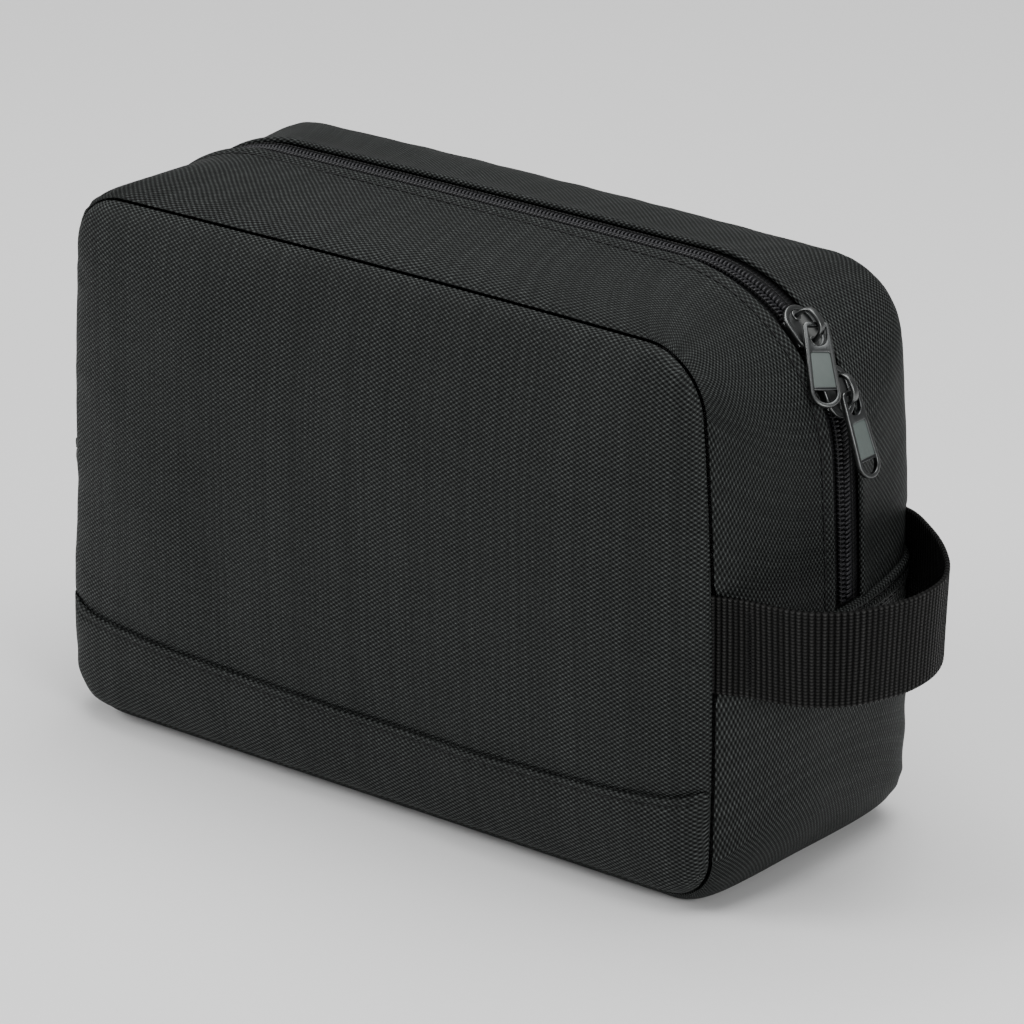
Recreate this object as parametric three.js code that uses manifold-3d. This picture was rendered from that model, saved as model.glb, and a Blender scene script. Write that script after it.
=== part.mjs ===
// Box-shaped zipped wash bag with a webbing carrying loop on its right-hand end.
// Millimetres. +X runs along the bag towards the loop, +Y to the back, +Z up.
// The origin is the middle of the base.
import * as THREE from 'three';
import { mergeVertices } from 'three/addons/utils/BufferGeometryUtils.js';
import Module from 'manifold-3d';

const wasm = await Module();
wasm.setup();

// ---------------------------------------------------------------- driving dimensions
const PANEL_WIDTH = 260;
const PANEL_HEIGHT = 178.5;
const SEAM_DEPTH = 98;
const SEAM_LIFT = 4.5;
const TOP_CORNER = 20;
const TOP_SOFTENING = 24;
const BOTTOM_CORNER = 14;
const BOTTOM_SOFTENING = 15;
const SIDE_BOW = 3.4;
const TOP_BOW = 1.1;
const FOOT_SPREAD = 1.9;
const SIDE_BULGE = 11.3;
const TOP_BULGE = 8.8;
const BASE_BULGE = 10.6;
const PANEL_PUFF = 11.5;
const PUFF_MARGIN = 55;
const CORE_HALF = 40;

const GAP = 0.3;
const LAYER_GAP = 0.6;
const SKIN = 1;
const FOAM = 2.6;
const LINING = 0.6;
const STRIP = 1.6;
const TAPE = 0.7;
const BAND_TOP = 36;
const FOLD_HEIGHT = 112;
const ZIP_END = 90;
const BOARD = 1.5;
const BOARD_HALF_LENGTH = 112;
const LINING_SETBACK = 10;
const BINDING_THICKNESS = 1.8;
const BINDING_OUTER_INSET = 2.6;
const BINDING_INNER_INSET = 9.6;

const ZIP_Y = 4.5;
const ZIP_HALF_OPENING = 7.3;
const TAPE_HALF_WIDTH = 15;
const COIL_HALF_WIDTH = 4.4;
const COIL_HEIGHT = 1.8;
// Half the gap between the two coils: they part where the two sliders' wedges meet.
const CLOSED_HALF_GAP = 0.35;
const WEDGE_HALF_GAP = 1.7;
const PARTED_STATIONS = 0.155;
const CLOSING_STATIONS = 0.06;
const UPPER_SLIDER_ANGLE = 42;
const LOWER_SLIDER_ANGLE = 20.5;

const WEBBING_WIDTH = 32;
const WEBBING_THICKNESS = 1.6;
const WEBBING_CENTRE_HEIGHT = 91;
const WEBBING_FIXED_END = 14;
const LOOP_FLARE = 0.16;

// Further out than any part of the bag.
const BEYOND = 300;

// Stations round half of a seam outline, from the middle of the base to the middle of the top.
const BASE_CORNER_START = 1;
const SIDE_START = 2;
const SHOULDER_START = 3;
const TOP_START = 4;
const TOP_MIDDLE = 5;
const FULL_TURN = 10;

// ---------------------------------------------------------------- materials
const fabric = { color: 0x26282a, roughness: 0.85, metalness: 0 };
const liningCloth = { color: 0x1d1e20, roughness: 0.7, metalness: 0 };
const foamSheet = { color: 0x55565a, roughness: 0.9, metalness: 0 };
const boardSheet = { color: 0x3a3a3c, roughness: 0.8, metalness: 0 };
const webbing = { color: 0x1b1c1d, roughness: 0.75, metalness: 0 };
const zipTape = { color: 0x1c1d1f, roughness: 0.9, metalness: 0 };
const coilNylon = { color: 0x17181a, roughness: 0.45, metalness: 0 };
const gunmetal = { color: 0x3c3f41, roughness: 0.35, metalness: 0.9 };
const inlayPlate = { color: 0x6e7674, roughness: 0.5, metalness: 0.2 };
const bindingCloth = { color: 0x141516, roughness: 0.7, metalness: 0 };

const bag = new THREE.Group();

function addPiece(name, geometry, look, parent = bag) {
  const mesh = new THREE.Mesh(geometry, new THREE.MeshStandardMaterial(look));
  mesh.name = name;
  parent.add(mesh);
  return mesh;
}

// ---------------------------------------------------------------- solids
function clean(geometry) {
  const bare = geometry.index ? geometry.toNonIndexed() : geometry.clone();
  for (const name of Object.keys(bare.attributes)) {
    if (name !== 'position') {
      bare.deleteAttribute(name);
    }
  }
  const merged = mergeVertices(bare, 1e-4);
  const index = Array.from(merged.index.array);
  const kept = [];
  for (let i = 0; i < index.length; i += 3) {
    const [a, b, c] = index.slice(i, i + 3);
    if (a !== b && b !== c && c !== a) {
      kept.push(a, b, c);
    }
  }
  merged.setIndex(kept);
  return merged;
}

function toSolid(geometry) {
  const merged = clean(geometry);
  const mesh = new wasm.Mesh({
    numProp: 3,
    vertProperties: new Float32Array(merged.attributes.position.array),
    triVerts: new Uint32Array(merged.index.array),
  });
  return new wasm.Manifold(mesh);
}

function toGeometry(solid) {
  const mesh = solid.getMesh();
  const geometry = new THREE.BufferGeometry();
  geometry.setAttribute('position', new THREE.Float32BufferAttribute(mesh.vertProperties, 3));
  geometry.setIndex(Array.from(mesh.triVerts));
  geometry.computeVertexNormals();
  return geometry;
}

function boxSolid(low, high) {
  const [sx, sy, sz] = high.map((value, i) => value - low[i]);
  const box = new THREE.BoxGeometry(sx, sy, sz);
  box.translate(low[0] + sx / 2, low[1] + sy / 2, low[2] + sz / 2);
  return toSolid(box);
}

function layerBetween(solid, lowZ, highZ) {
  return solid.intersect(boxSolid([-BEYOND, -BEYOND, lowZ], [BEYOND, BEYOND, highZ]));
}

// A piece that reaches both ends of the bag, added as its right-hand and its left-hand half.
function addEndPair(name, solid, look) {
  const rightHalf = boxSolid([0, -BEYOND, -BEYOND], [BEYOND, BEYOND, BEYOND]);
  const leftHalf = boxSolid([-BEYOND, -BEYOND, -BEYOND], [0, BEYOND, BEYOND]);
  addPiece(`${name}_right`, toGeometry(solid.intersect(rightHalf)), look);
  addPiece(`${name}_left`, toGeometry(solid.intersect(leftHalf)), look);
}

function joinAll(solids) {
  return solids.reduce((whole, next) => whole.add(next));
}

// A closed body between two sheets of points; a ring closes on itself along its rows.
function sheetGeometry(outer, inner, closed) {
  const rows = outer.length;
  const columns = outer[0].length;
  const positions = [];
  for (const sheet of [outer, inner]) {
    for (const row of sheet) {
      for (const point of row) {
        positions.push(point.x, point.y, point.z);
      }
    }
  }
  const index = [];
  const at = (layer, row, column) => layer * rows * columns + (row % rows) * columns + column;
  const quad = (a, b, c, d) => index.push(a, b, c, a, c, d);
  const lastRow = closed ? rows : rows - 1;
  for (let r = 0; r < lastRow; r++) {
    for (let c = 0; c < columns - 1; c++) {
      quad(at(0, r, c), at(0, r, c + 1), at(0, r + 1, c + 1), at(0, r + 1, c));
      quad(at(1, r, c), at(1, r + 1, c), at(1, r + 1, c + 1), at(1, r, c + 1));
    }
    quad(at(0, r, 0), at(0, r + 1, 0), at(1, r + 1, 0), at(1, r, 0));
    const e = columns - 1;
    quad(at(0, r, e), at(1, r, e), at(1, r + 1, e), at(0, r + 1, e));
  }
  if (!closed) {
    const l = rows - 1;
    for (let c = 0; c < columns - 1; c++) {
      quad(at(0, 0, c), at(1, 0, c), at(1, 0, c + 1), at(0, 0, c + 1));
      quad(at(0, l, c), at(0, l, c + 1), at(1, l, c + 1), at(1, l, c));
    }
  }
  const geometry = new THREE.BufferGeometry();
  geometry.setAttribute('position', new THREE.Float32BufferAttribute(positions, 3));
  geometry.setIndex(index);
  return geometry;
}

// ---------------------------------------------------------------- the bag's outside shape
// Half outline at a depth: a rounded rectangle whose corners grow softer away from the seams.
function halfOutline(station, softness) {
  const halfWidth = PANEL_WIDTH / 2;
  const top = TOP_CORNER + TOP_SOFTENING * softness;
  const bottom = BOTTOM_CORNER + BOTTOM_SOFTENING * softness;
  const shoulderZ = SEAM_LIFT + PANEL_HEIGHT - top;
  const cornerZ = SEAM_LIFT + bottom;
  let x;
  let z;
  let angle;
  if (station <= BASE_CORNER_START) {
    x = (halfWidth - bottom) * station;
    z = SEAM_LIFT;
    angle = -Math.PI / 2;
  } else if (station <= SIDE_START) {
    angle = (station - SIDE_START) * Math.PI / 2;
    x = halfWidth - bottom + bottom * Math.cos(angle);
    z = cornerZ + bottom * Math.sin(angle);
  } else if (station <= SHOULDER_START) {
    angle = 0;
    x = halfWidth;
    z = cornerZ + (shoulderZ - cornerZ) * (station - SIDE_START);
  } else if (station <= TOP_START) {
    angle = (station - SHOULDER_START) * Math.PI / 2;
    x = halfWidth - top + top * Math.cos(angle);
    z = shoulderZ + top * Math.sin(angle);
  } else {
    angle = Math.PI / 2;
    x = (halfWidth - top) * (TOP_MIDDLE - station);
    z = SEAM_LIFT + PANEL_HEIGHT;
  }
  const across = x / halfWidth;
  const upward = (z - SEAM_LIFT) / (PANEL_HEIGHT / 2) - 1;
  x += across * (SIDE_BOW * (1 - upward * upward) - FOOT_SPREAD * upward);
  z += Math.max(upward, 0) * TOP_BOW * (1 - across * across);
  return { x, z, nx: Math.cos(angle), nz: Math.sin(angle) };
}

// A point on the gusset: station 0 to 10 round the bag, y across it, sunk below the surface.
function gussetPoint(station, y, sink = 0) {
  const mirrored = station > TOP_MIDDLE;
  const depth = THREE.MathUtils.clamp(y / SEAM_DEPTH + 0.5, 0, 1);
  const softness = 4 * depth * (1 - depth);
  const rim = halfOutline(mirrored ? FULL_TURN - station : station, softness);
  const vertical = rim.nz > 0 ? TOP_BULGE : BASE_BULGE;
  const bulge = vertical * rim.nz * rim.nz + SIDE_BULGE * rim.nx * rim.nx;
  const reach = bulge * Math.sqrt(softness) - sink;
  const x = rim.x + rim.nx * reach;
  const z = Math.max(rim.z + rim.nz * reach, sink);
  return new THREE.Vector3(mirrored ? -x : x, y, z);
}

// The station on the right-hand side where the gusset at this depth reaches a height.
function stationAtHeight(height, y) {
  let low = BASE_CORNER_START;
  let high = TOP_MIDDLE;
  for (let i = 0; i < 40; i++) {
    const middle = (low + high) / 2;
    if (gussetPoint(middle, y).z < height) {
      low = middle;
    } else {
      high = middle;
    }
  }
  return (low + high) / 2;
}

function spacedStations(first, last, steps) {
  const stations = [];
  const spans = [0, 1, 2, 3, 4, 6, 7, 8, 9, 10].filter((s) => s > first + 0.02 && s < last - 0.02);
  const knots = [first, ...spans, last];
  for (let i = 0; i < knots.length - 1; i++) {
    const round = [1, 3, 6, 8].includes(Math.floor(knots[i] + 0.01));
    const count = Math.max(2, Math.ceil((round ? steps : steps / 2) * (knots[i + 1] - knots[i])));
    for (let j = 0; j < count; j++) {
      stations.push(knots[i] + (knots[i + 1] - knots[i]) * j / count);
    }
  }
  stations.push(last);
  return stations;
}

function easedDepths(frontY, rearY, steps) {
  const depths = [];
  const toAngle = (y) => Math.asin(THREE.MathUtils.clamp(2 * y / SEAM_DEPTH, -1, 1));
  for (let i = 0; i <= steps; i++) {
    const angle = toAngle(frontY) + (toAngle(rearY) - toAngle(frontY)) * i / steps;
    depths.push(Math.sin(angle) * SEAM_DEPTH / 2);
  }
  depths[0] = frontY;
  depths[steps] = rearY;
  return depths;
}

// A strip of the gusset between two depths, from sink to sink + thickness below the surface.
function gussetStrip({ frontY, rearY, endHeight, sink, thickness, depthSteps = 4, steps = 8 }) {
  const depths = easedDepths(frontY, rearY, depthSteps);
  const wholeTurn = endHeight === undefined;
  const first = wholeTurn ? 0 : stationAtHeight(endHeight, 0);
  const last = wholeTurn ? FULL_TURN : FULL_TURN - first;
  const stations = spacedStations(first, last, steps);
  if (wholeTurn) {
    stations.pop();
  }
  const sheet = (depth) => stations.map((s) => depths.map((y) => gussetPoint(s, y, depth)));
  return toSolid(sheetGeometry(sheet(sink), sheet(sink + thickness), wholeTurn));
}

// ---------------------------------------------------------------- puffed front and back panels
function puffedPanel({ side, inset, behind, thickness, steps = 4 }) {
  const ringScales = [1, 0.97, 0.88, 0.74, 0.5];
  const middleZ = SEAM_LIFT + PANEL_HEIGHT / 2;
  const coreReach = PANEL_WIDTH / 2 - CORE_HALF;
  const stations = spacedStations(0, FULL_TURN, steps);
  stations.pop();
  const rim = stations.map((s) => {
    const mirrored = s > TOP_MIDDLE;
    const p = halfOutline(mirrored ? FULL_TURN - s : s, 0);
    const x = p.x - p.nx * inset;
    return { x: mirrored ? -x : x, z: p.z - p.nz * inset };
  });
  const surface = (offset) => {
    const rings = ringScales.map((scale) => {
      const fromEdge = Math.min((1 - scale) * coreReach / PUFF_MARGIN, 1);
      const puff = PANEL_PUFF * Math.sqrt(1 - (1 - fromEdge) ** 2);
      return rim.map(({ x, z }) => {
        const cx = THREE.MathUtils.clamp(x, -CORE_HALF, CORE_HALF);
        const y = side * (SEAM_DEPTH / 2 + SKIN + GAP / 2 - offset + puff);
        return new THREE.Vector3(cx + (x - cx) * scale, y, middleZ + (z - middleZ) * scale);
      });
    });
    const y = side * (SEAM_DEPTH / 2 + SKIN + GAP / 2 - offset + PANEL_PUFF);
    const centre = new THREE.Vector3(0, y, middleZ);
    rings.push(rim.map(() => centre));
    return rings;
  };
  const outer = surface(behind);
  const inner = surface(behind + thickness);
  const byStation = (rings) => rim.map((_, i) => rings.map((ring) => ring[i]));
  const first = side < 0 ? byStation(inner) : byStation(outer);
  const second = side < 0 ? byStation(outer) : byStation(inner);
  const skin = sheetGeometry(first, second, true);
  return toSolid(openCentre(skin, rim.length, ringScales.length + 1));
}

// The two faces of a panel meet in a point at the middle, so the narrow wall there is dropped.
function openCentre(geometry, rows, columns) {
  const isCentre = (i) => i % columns === columns - 1;
  const index = Array.from(geometry.index.array);
  const kept = [];
  for (let i = 0; i < index.length; i += 3) {
    const triangle = index.slice(i, i + 3);
    const layers = new Set(triangle.map((v) => Math.floor(v / (rows * columns))));
    if (!(layers.size === 2 && triangle.every(isCentre))) {
      kept.push(...triangle);
    }
  }
  geometry.setIndex(kept);
  return geometry;
}

const skinBehind = 0;
const foamBehind = SKIN + GAP;
const liningBehind = foamBehind + FOAM + LAYER_GAP;
const underGusset = SKIN + 0.6;

const frontSkin = puffedPanel({ side: -1, inset: 0, behind: skinBehind, thickness: SKIN });
const frontFoam = puffedPanel({ side: -1, inset: underGusset, behind: foamBehind, thickness: FOAM });
const frontLining = puffedPanel({
  side: -1, inset: underGusset + 3, behind: liningBehind, thickness: LINING,
});
const backSkin = puffedPanel({ side: 1, inset: 0, behind: skinBehind, thickness: SKIN });
const backFoam = puffedPanel({ side: 1, inset: underGusset, behind: foamBehind, thickness: FOAM });
const backLining = puffedPanel({
  side: 1, inset: underGusset + 3, behind: liningBehind, thickness: LINING,
});

const cut = GAP / 2;
const frontBandSolid = layerBetween(frontSkin, -BEYOND, BAND_TOP - cut);
const frontMiddleSolid = layerBetween(frontSkin, BAND_TOP + cut, FOLD_HEIGHT - cut);
const frontFlapSolid = layerBetween(frontSkin, FOLD_HEIGHT + cut, BEYOND);
addPiece('front_panel', toGeometry(frontFlapSolid), fabric);
addPiece('front_panel_base', toGeometry(frontMiddleSolid), fabric);
addPiece('front_band', toGeometry(frontBandSolid), fabric);
addPiece('back_panel', toGeometry(layerBetween(backSkin, BAND_TOP + cut, BEYOND)), fabric);
addPiece('back_band', toGeometry(layerBetween(backSkin, -BEYOND, BAND_TOP - cut)), fabric);
addPiece('foam_front', toGeometry(layerBetween(frontFoam, FOLD_HEIGHT + cut, BEYOND)), foamSheet);
addPiece('foam_front_base', toGeometry(layerBetween(frontFoam, -BEYOND, FOLD_HEIGHT - cut)), foamSheet);
addPiece('foam_back', toGeometry(backFoam), foamSheet);
const frontFlapLining = layerBetween(frontLining, FOLD_HEIGHT + cut, BEYOND);
const frontBaseLining = layerBetween(frontLining, -BEYOND, FOLD_HEIGHT - cut);
addPiece('lining_front', toGeometry(frontFlapLining), liningCloth);
addPiece('lining_front_base', toGeometry(frontBaseLining), liningCloth);
addPiece('lining_back', toGeometry(backLining), liningCloth);

// ---------------------------------------------------------------- gusset: base, strips and zip
const frontEdge = -SEAM_DEPTH / 2 + GAP / 2;
const rearEdge = SEAM_DEPTH / 2 - GAP / 2;
const innerFrontEdge = frontEdge + liningBehind + LINING + 2;
const innerRearEdge = -innerFrontEdge;

const wholeGusset = gussetStrip({
  frontY: frontEdge, rearY: rearEdge, sink: 0, thickness: SKIN, depthSteps: 8, steps: 6,
});
addPiece('base_gusset', toGeometry(layerBetween(wholeGusset, -BEYOND, ZIP_END - cut)), fabric);

const boardSink = SKIN + LAYER_GAP;
const wholeBoard = gussetStrip({
  frontY: innerFrontEdge, rearY: innerRearEdge,
  sink: boardSink, thickness: BOARD, depthSteps: 6, steps: 4,
});
const boardLimits = boxSolid([-BOARD_HALF_LENGTH, -BEYOND, -BEYOND], [BOARD_HALF_LENGTH, BEYOND, 12]);
addPiece('base_board', toGeometry(wholeBoard.intersect(boardLimits)), boardSheet);

const liningSink = boardSink + BOARD + LAYER_GAP;
const wholeLining = gussetStrip({
  frontY: innerFrontEdge, rearY: innerRearEdge,
  sink: liningSink, thickness: LINING, depthSteps: 6, steps: 4,
});
addPiece('lining_base', toGeometry(layerBetween(wholeLining, -BEYOND, ZIP_END - cut)), liningCloth);

const stripBottom = ZIP_END - 6;
const frontFold = ZIP_Y - ZIP_HALF_OPENING;
const rearFold = ZIP_Y + ZIP_HALF_OPENING;
const frontStrip = gussetStrip({
  frontY: frontEdge, rearY: frontFold, endHeight: stripBottom, sink: 0, thickness: STRIP,
});
const rearStrip = gussetStrip({
  frontY: rearFold, rearY: rearEdge, endHeight: stripBottom, sink: 0, thickness: STRIP,
});
addPiece('zip_strip_front', toGeometry(layerBetween(frontStrip, FOLD_HEIGHT + cut, BEYOND)), fabric);
addEndPair('zip_strip_front_end', layerBetween(frontStrip, ZIP_END + cut, FOLD_HEIGHT - cut), fabric);
addPiece('zip_strip_rear', toGeometry(layerBetween(rearStrip, ZIP_END + cut, BEYOND)), fabric);

const stripLiningSink = STRIP + LAYER_GAP + TAPE + LAYER_GAP;
const frontStripLining = gussetStrip({
  frontY: innerFrontEdge, rearY: ZIP_Y - LINING_SETBACK, endHeight: stripBottom,
  sink: stripLiningSink, thickness: LINING, depthSteps: 2, steps: 6,
});
const rearStripLining = gussetStrip({
  frontY: ZIP_Y + LINING_SETBACK, rearY: innerRearEdge, endHeight: stripBottom,
  sink: stripLiningSink, thickness: LINING, depthSteps: 2, steps: 6,
});
const frontStripLiningFlap = layerBetween(frontStripLining, FOLD_HEIGHT + cut, BEYOND);
const rearStripLiningAboveEnd = layerBetween(rearStripLining, ZIP_END + cut, BEYOND);
addPiece('lining_strip_front', toGeometry(frontStripLiningFlap), liningCloth);
addPiece('lining_strip_rear', toGeometry(rearStripLiningAboveEnd), liningCloth);

// ---------------------------------------------------------------- zip tapes and coils
// Angle round the right-hand shoulder, up from the horizontal, as a station.
const shoulderStation = (degrees) => SHOULDER_START + degrees / 90;

const betweenSliders = shoulderStation((UPPER_SLIDER_ANGLE + LOWER_SLIDER_ANGLE) / 2);

function coilHalfGap(station) {
  const pastParting = Math.abs(station - betweenSliders) - PARTED_STATIONS;
  const beyond = THREE.MathUtils.clamp(pastParting / CLOSING_STATIONS, 0, 1);
  return WEDGE_HALF_GAP + (CLOSED_HALF_GAP - WEDGE_HALF_GAP) * THREE.MathUtils.smoothstep(beyond, 0, 1);
}

function zipStations() {
  const first = stationAtHeight(ZIP_END + 1, 0);
  const even = spacedStations(first, FULL_TURN - first, 8);
  const extra = [0, 0.5, 1].flatMap((share) => {
    const away = PARTED_STATIONS + CLOSING_STATIONS * share;
    return [betweenSliders - away, betweenSliders + away];
  });
  const apart = even.filter((s) => extra.every((e) => Math.abs(e - s) > 0.02));
  return [...apart, ...extra].sort((a, b) => a - b);
}

function zipRibbon({ side, innerExtra, outerReach, sink, thickness }) {
  const stations = zipStations();
  const sheet = (depth) => stations.map((s) => {
    const near = ZIP_Y + side * (coilHalfGap(s) + innerExtra);
    const far = ZIP_Y + side * outerReach;
    const pair = side > 0 ? [near, far] : [far, near];
    return pair.map((y) => gussetPoint(s, y, depth));
  });
  return toSolid(sheetGeometry(sheet(sink), sheet(sink + thickness), false));
}

const tapeSink = STRIP + LAYER_GAP;
const coilSink = tapeSink - 0.2 - COIL_HEIGHT;
for (const [name, side] of [['front', -1], ['rear', 1]]) {
  const tape = zipRibbon({
    side, innerExtra: 0.1, outerReach: TAPE_HALF_WIDTH, sink: tapeSink, thickness: TAPE,
  });
  const coil = zipRibbon({
    side, innerExtra: 0, outerReach: COIL_HALF_WIDTH, sink: coilSink, thickness: COIL_HEIGHT,
  });
  if (side > 0) {
    addPiece('zip_tape_rear', toGeometry(tape), zipTape);
    addPiece('zip_coil_rear', toGeometry(coil), coilNylon);
  } else {
    addPiece('zip_tape_front', toGeometry(layerBetween(tape, FOLD_HEIGHT + cut, BEYOND)), zipTape);
    addPiece('zip_coil_front', toGeometry(layerBetween(coil, FOLD_HEIGHT + cut, BEYOND)), coilNylon);
    addEndPair('zip_tape_front_end', layerBetween(tape, ZIP_END, FOLD_HEIGHT - cut), zipTape);
    addEndPair('zip_coil_front_end', layerBetween(coil, ZIP_END, FOLD_HEIGHT - cut), coilNylon);
  }
}

// ---------------------------------------------------------------- seam bindings
function bindingRing(side) {
  const stations = spacedStations(0, FULL_TURN, 4);
  stations.pop();
  const nearSeam = side * (SEAM_DEPTH / 2 + SKIN + GAP / 2 - liningBehind - LINING - LAYER_GAP);
  const inward = nearSeam - side * BINDING_THICKNESS;
  const ring = (inset) => stations.map((s) => {
    const mirrored = s > TOP_MIDDLE;
    const p = halfOutline(mirrored ? FULL_TURN - s : s, 0);
    const x = p.x - p.nx * inset;
    const pair = side > 0 ? [inward, nearSeam] : [nearSeam, inward];
    return pair.map((y) => new THREE.Vector3(mirrored ? -x : x, y, p.z - p.nz * inset));
  });
  return toSolid(sheetGeometry(ring(BINDING_OUTER_INSET), ring(BINDING_INNER_INSET), true));
}
const frontBinding = bindingRing(-1);
const frontFlapBinding = layerBetween(frontBinding, FOLD_HEIGHT + cut, BEYOND);
const frontBaseBinding = layerBetween(frontBinding, -BEYOND, FOLD_HEIGHT - cut);
addPiece('seam_binding_front', toGeometry(frontFlapBinding), bindingCloth);
addPiece('seam_binding_front_base', toGeometry(frontBaseBinding), bindingCloth);
addPiece('seam_binding_rear', toGeometry(bindingRing(1)), bindingCloth);

// ---------------------------------------------------------------- sliders and pulls
const SLIDER_LENGTH = 17;
const SLIDER_WIDTH = 12.6;
const PLATE_BOTTOM = 0.8;
const PLATE_TOP = 1.7;
const RIM_TOP = 2.3;
const RIM_WIDTH = 1.5;
const FLANGE_INNER = 5.1;
const FLANGE_THICKNESS = 1.1;
const FLANGE_BOTTOM = -1.5;
const UNDER_TOP = -3.8;
const UNDER_BOTTOM = -5;
const WEDGE_WIDTH = 2.2;
const WEDGE_LENGTH = 3.2;
const BAIL_LENGTH = 11;
const BAIL_TOP = 9;
const BAIL_BAR = 1.2;
const BAIL_WIDTH = 2;
const PIVOT_ALONG = -1.4;
const PIVOT_ABOVE = 6;

function ovalShape(length, width) {
  const shape = new THREE.Shape();
  const flat = (length - width) / 2;
  shape.absarc(flat, 0, width / 2, -Math.PI / 2, Math.PI / 2, false);
  shape.absarc(-flat, 0, width / 2, Math.PI / 2, Math.PI * 1.5, false);
  shape.closePath();
  return shape;
}

function plate(shape, low, high, curveSegments = 5) {
  const settings = { depth: high - low, bevelEnabled: false, curveSegments };
  const geometry = new THREE.ExtrudeGeometry(shape, settings);
  geometry.translate(0, 0, low);
  return toSolid(geometry);
}

// In the slider's own frame +X runs along the zip to its wedge, +Z out of the bag.
function sliderSolid() {
  const body = plate(ovalShape(SLIDER_LENGTH, SLIDER_WIDTH), PLATE_BOTTOM, RIM_TOP);
  const dish = plate(
    ovalShape(SLIDER_LENGTH - 2 * RIM_WIDTH, SLIDER_WIDTH - 2 * RIM_WIDTH), PLATE_TOP, RIM_TOP + 1,
  );
  const under = plate(ovalShape(SLIDER_LENGTH, SLIDER_WIDTH), UNDER_BOTTOM, UNDER_TOP);
  const halfFlange = SLIDER_LENGTH / 2 - 4;
  const flanges = [-1, 1].map((side) => {
    const edges = [side * FLANGE_INNER, side * (FLANGE_INNER + FLANGE_THICKNESS)].sort((a, b) => a - b);
    return boxSolid([-halfFlange, edges[0], FLANGE_BOTTOM], [halfFlange, edges[1], PLATE_BOTTOM + 0.1]);
  });
  const wedgeEnd = SLIDER_LENGTH / 2 - 0.6;
  const wedge = boxSolid(
    [wedgeEnd - WEDGE_LENGTH, -WEDGE_WIDTH / 2, UNDER_TOP - 0.1],
    [wedgeEnd, WEDGE_WIDTH / 2, PLATE_BOTTOM + 0.1],
  );
  return joinAll([body.subtract(dish), under, ...flanges, wedge, bailSolid()]);
}

function archShape(half, base, top) {
  const shape = new THREE.Shape();
  shape.moveTo(-half, base);
  shape.lineTo(half, base);
  shape.bezierCurveTo(half, top, half * 0.7, top, half * 0.4, top);
  shape.lineTo(-half * 0.4, top);
  shape.bezierCurveTo(-half * 0.7, top, -half, top, -half, base);
  return shape;
}

function bailSolid() {
  const arch = archShape(BAIL_LENGTH / 2, PLATE_TOP - 0.1, BAIL_TOP);
  const eye = archShape(BAIL_LENGTH / 2 - BAIL_BAR, PLATE_TOP - 0.4, BAIL_TOP - BAIL_BAR);
  const bridge = plate(arch, -BAIL_WIDTH / 2, BAIL_WIDTH / 2, 6);
  const opening = plate(eye, -BAIL_WIDTH, BAIL_WIDTH, 6);
  return bridge.subtract(opening).rotate([90, 0, 0]);
}

const PULL_LENGTH = 28;
const PULL_TOP_WIDTH = 8.6;
const PULL_WIDTH = 10;
const PULL_THICKNESS = 1.8;
const PULL_BAR = 0.8;
const FORK_LENGTH = 7.2;
const FORK_WIDTH = 5.8;
const FORK_ROUNDING = 2.4;
const INLAY_TOP = 10;
const INLAY_BOTTOM = 20.5;
const INLAY_TOP_WIDTH = 6;
const INLAY_BOTTOM_WIDTH = 7.2;
const INLAY_THICKNESS = 0.7;
const FINGER_HOLE_TOP = 21.6;
const FINGER_HOLE_RADIUS = 3.6;

// In the pull's own frame the hinge bar lies along Y at the origin and the plate hangs along +X.
function pullOutline(grow) {
  const top = PULL_TOP_WIDTH / 2 + grow;
  const round = PULL_WIDTH / 2 + grow;
  const endX = PULL_LENGTH - PULL_BAR - PULL_WIDTH / 2;
  const shape = new THREE.Shape();
  shape.moveTo(-PULL_BAR - grow, -top + 2);
  shape.quadraticCurveTo(-PULL_BAR - grow, -top, 1, -top);
  shape.lineTo(endX, -round);
  shape.absarc(endX, 0, round, -Math.PI / 2, Math.PI / 2, false);
  shape.lineTo(1, top);
  shape.quadraticCurveTo(-PULL_BAR - grow, top, -PULL_BAR - grow, top - 2);
  shape.closePath();
  return shape;
}

function forkHole() {
  const hole = new THREE.Path();
  const end = FORK_LENGTH;
  hole.moveTo(PULL_BAR, -FORK_WIDTH / 2);
  hole.lineTo(end - FORK_ROUNDING, -FORK_WIDTH / 2);
  hole.quadraticCurveTo(end, -FORK_WIDTH / 2, end, 0);
  hole.quadraticCurveTo(end, FORK_WIDTH / 2, end - FORK_ROUNDING, FORK_WIDTH / 2);
  hole.lineTo(PULL_BAR, FORK_WIDTH / 2);
  hole.closePath();
  return hole;
}

function fingerHole() {
  const hole = new THREE.Path();
  const endX = PULL_LENGTH - PULL_BAR - PULL_WIDTH / 2;
  hole.moveTo(FINGER_HOLE_TOP, -FINGER_HOLE_RADIUS * 0.9);
  hole.absarc(endX, 0, FINGER_HOLE_RADIUS, -1.2, 1.2, false);
  hole.lineTo(FINGER_HOLE_TOP, FINGER_HOLE_RADIUS * 0.9);
  hole.closePath();
  return hole;
}

function inlayShape(grow) {
  const shape = new THREE.Shape();
  const topHalf = INLAY_TOP_WIDTH / 2 + grow;
  const bottomHalf = INLAY_BOTTOM_WIDTH / 2 + grow;
  shape.moveTo(INLAY_TOP - grow, -topHalf);
  shape.lineTo(INLAY_BOTTOM + grow, -bottomHalf);
  shape.lineTo(INLAY_BOTTOM + grow, bottomHalf);
  shape.lineTo(INLAY_TOP - grow, topHalf);
  shape.closePath();
  return shape;
}

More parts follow.
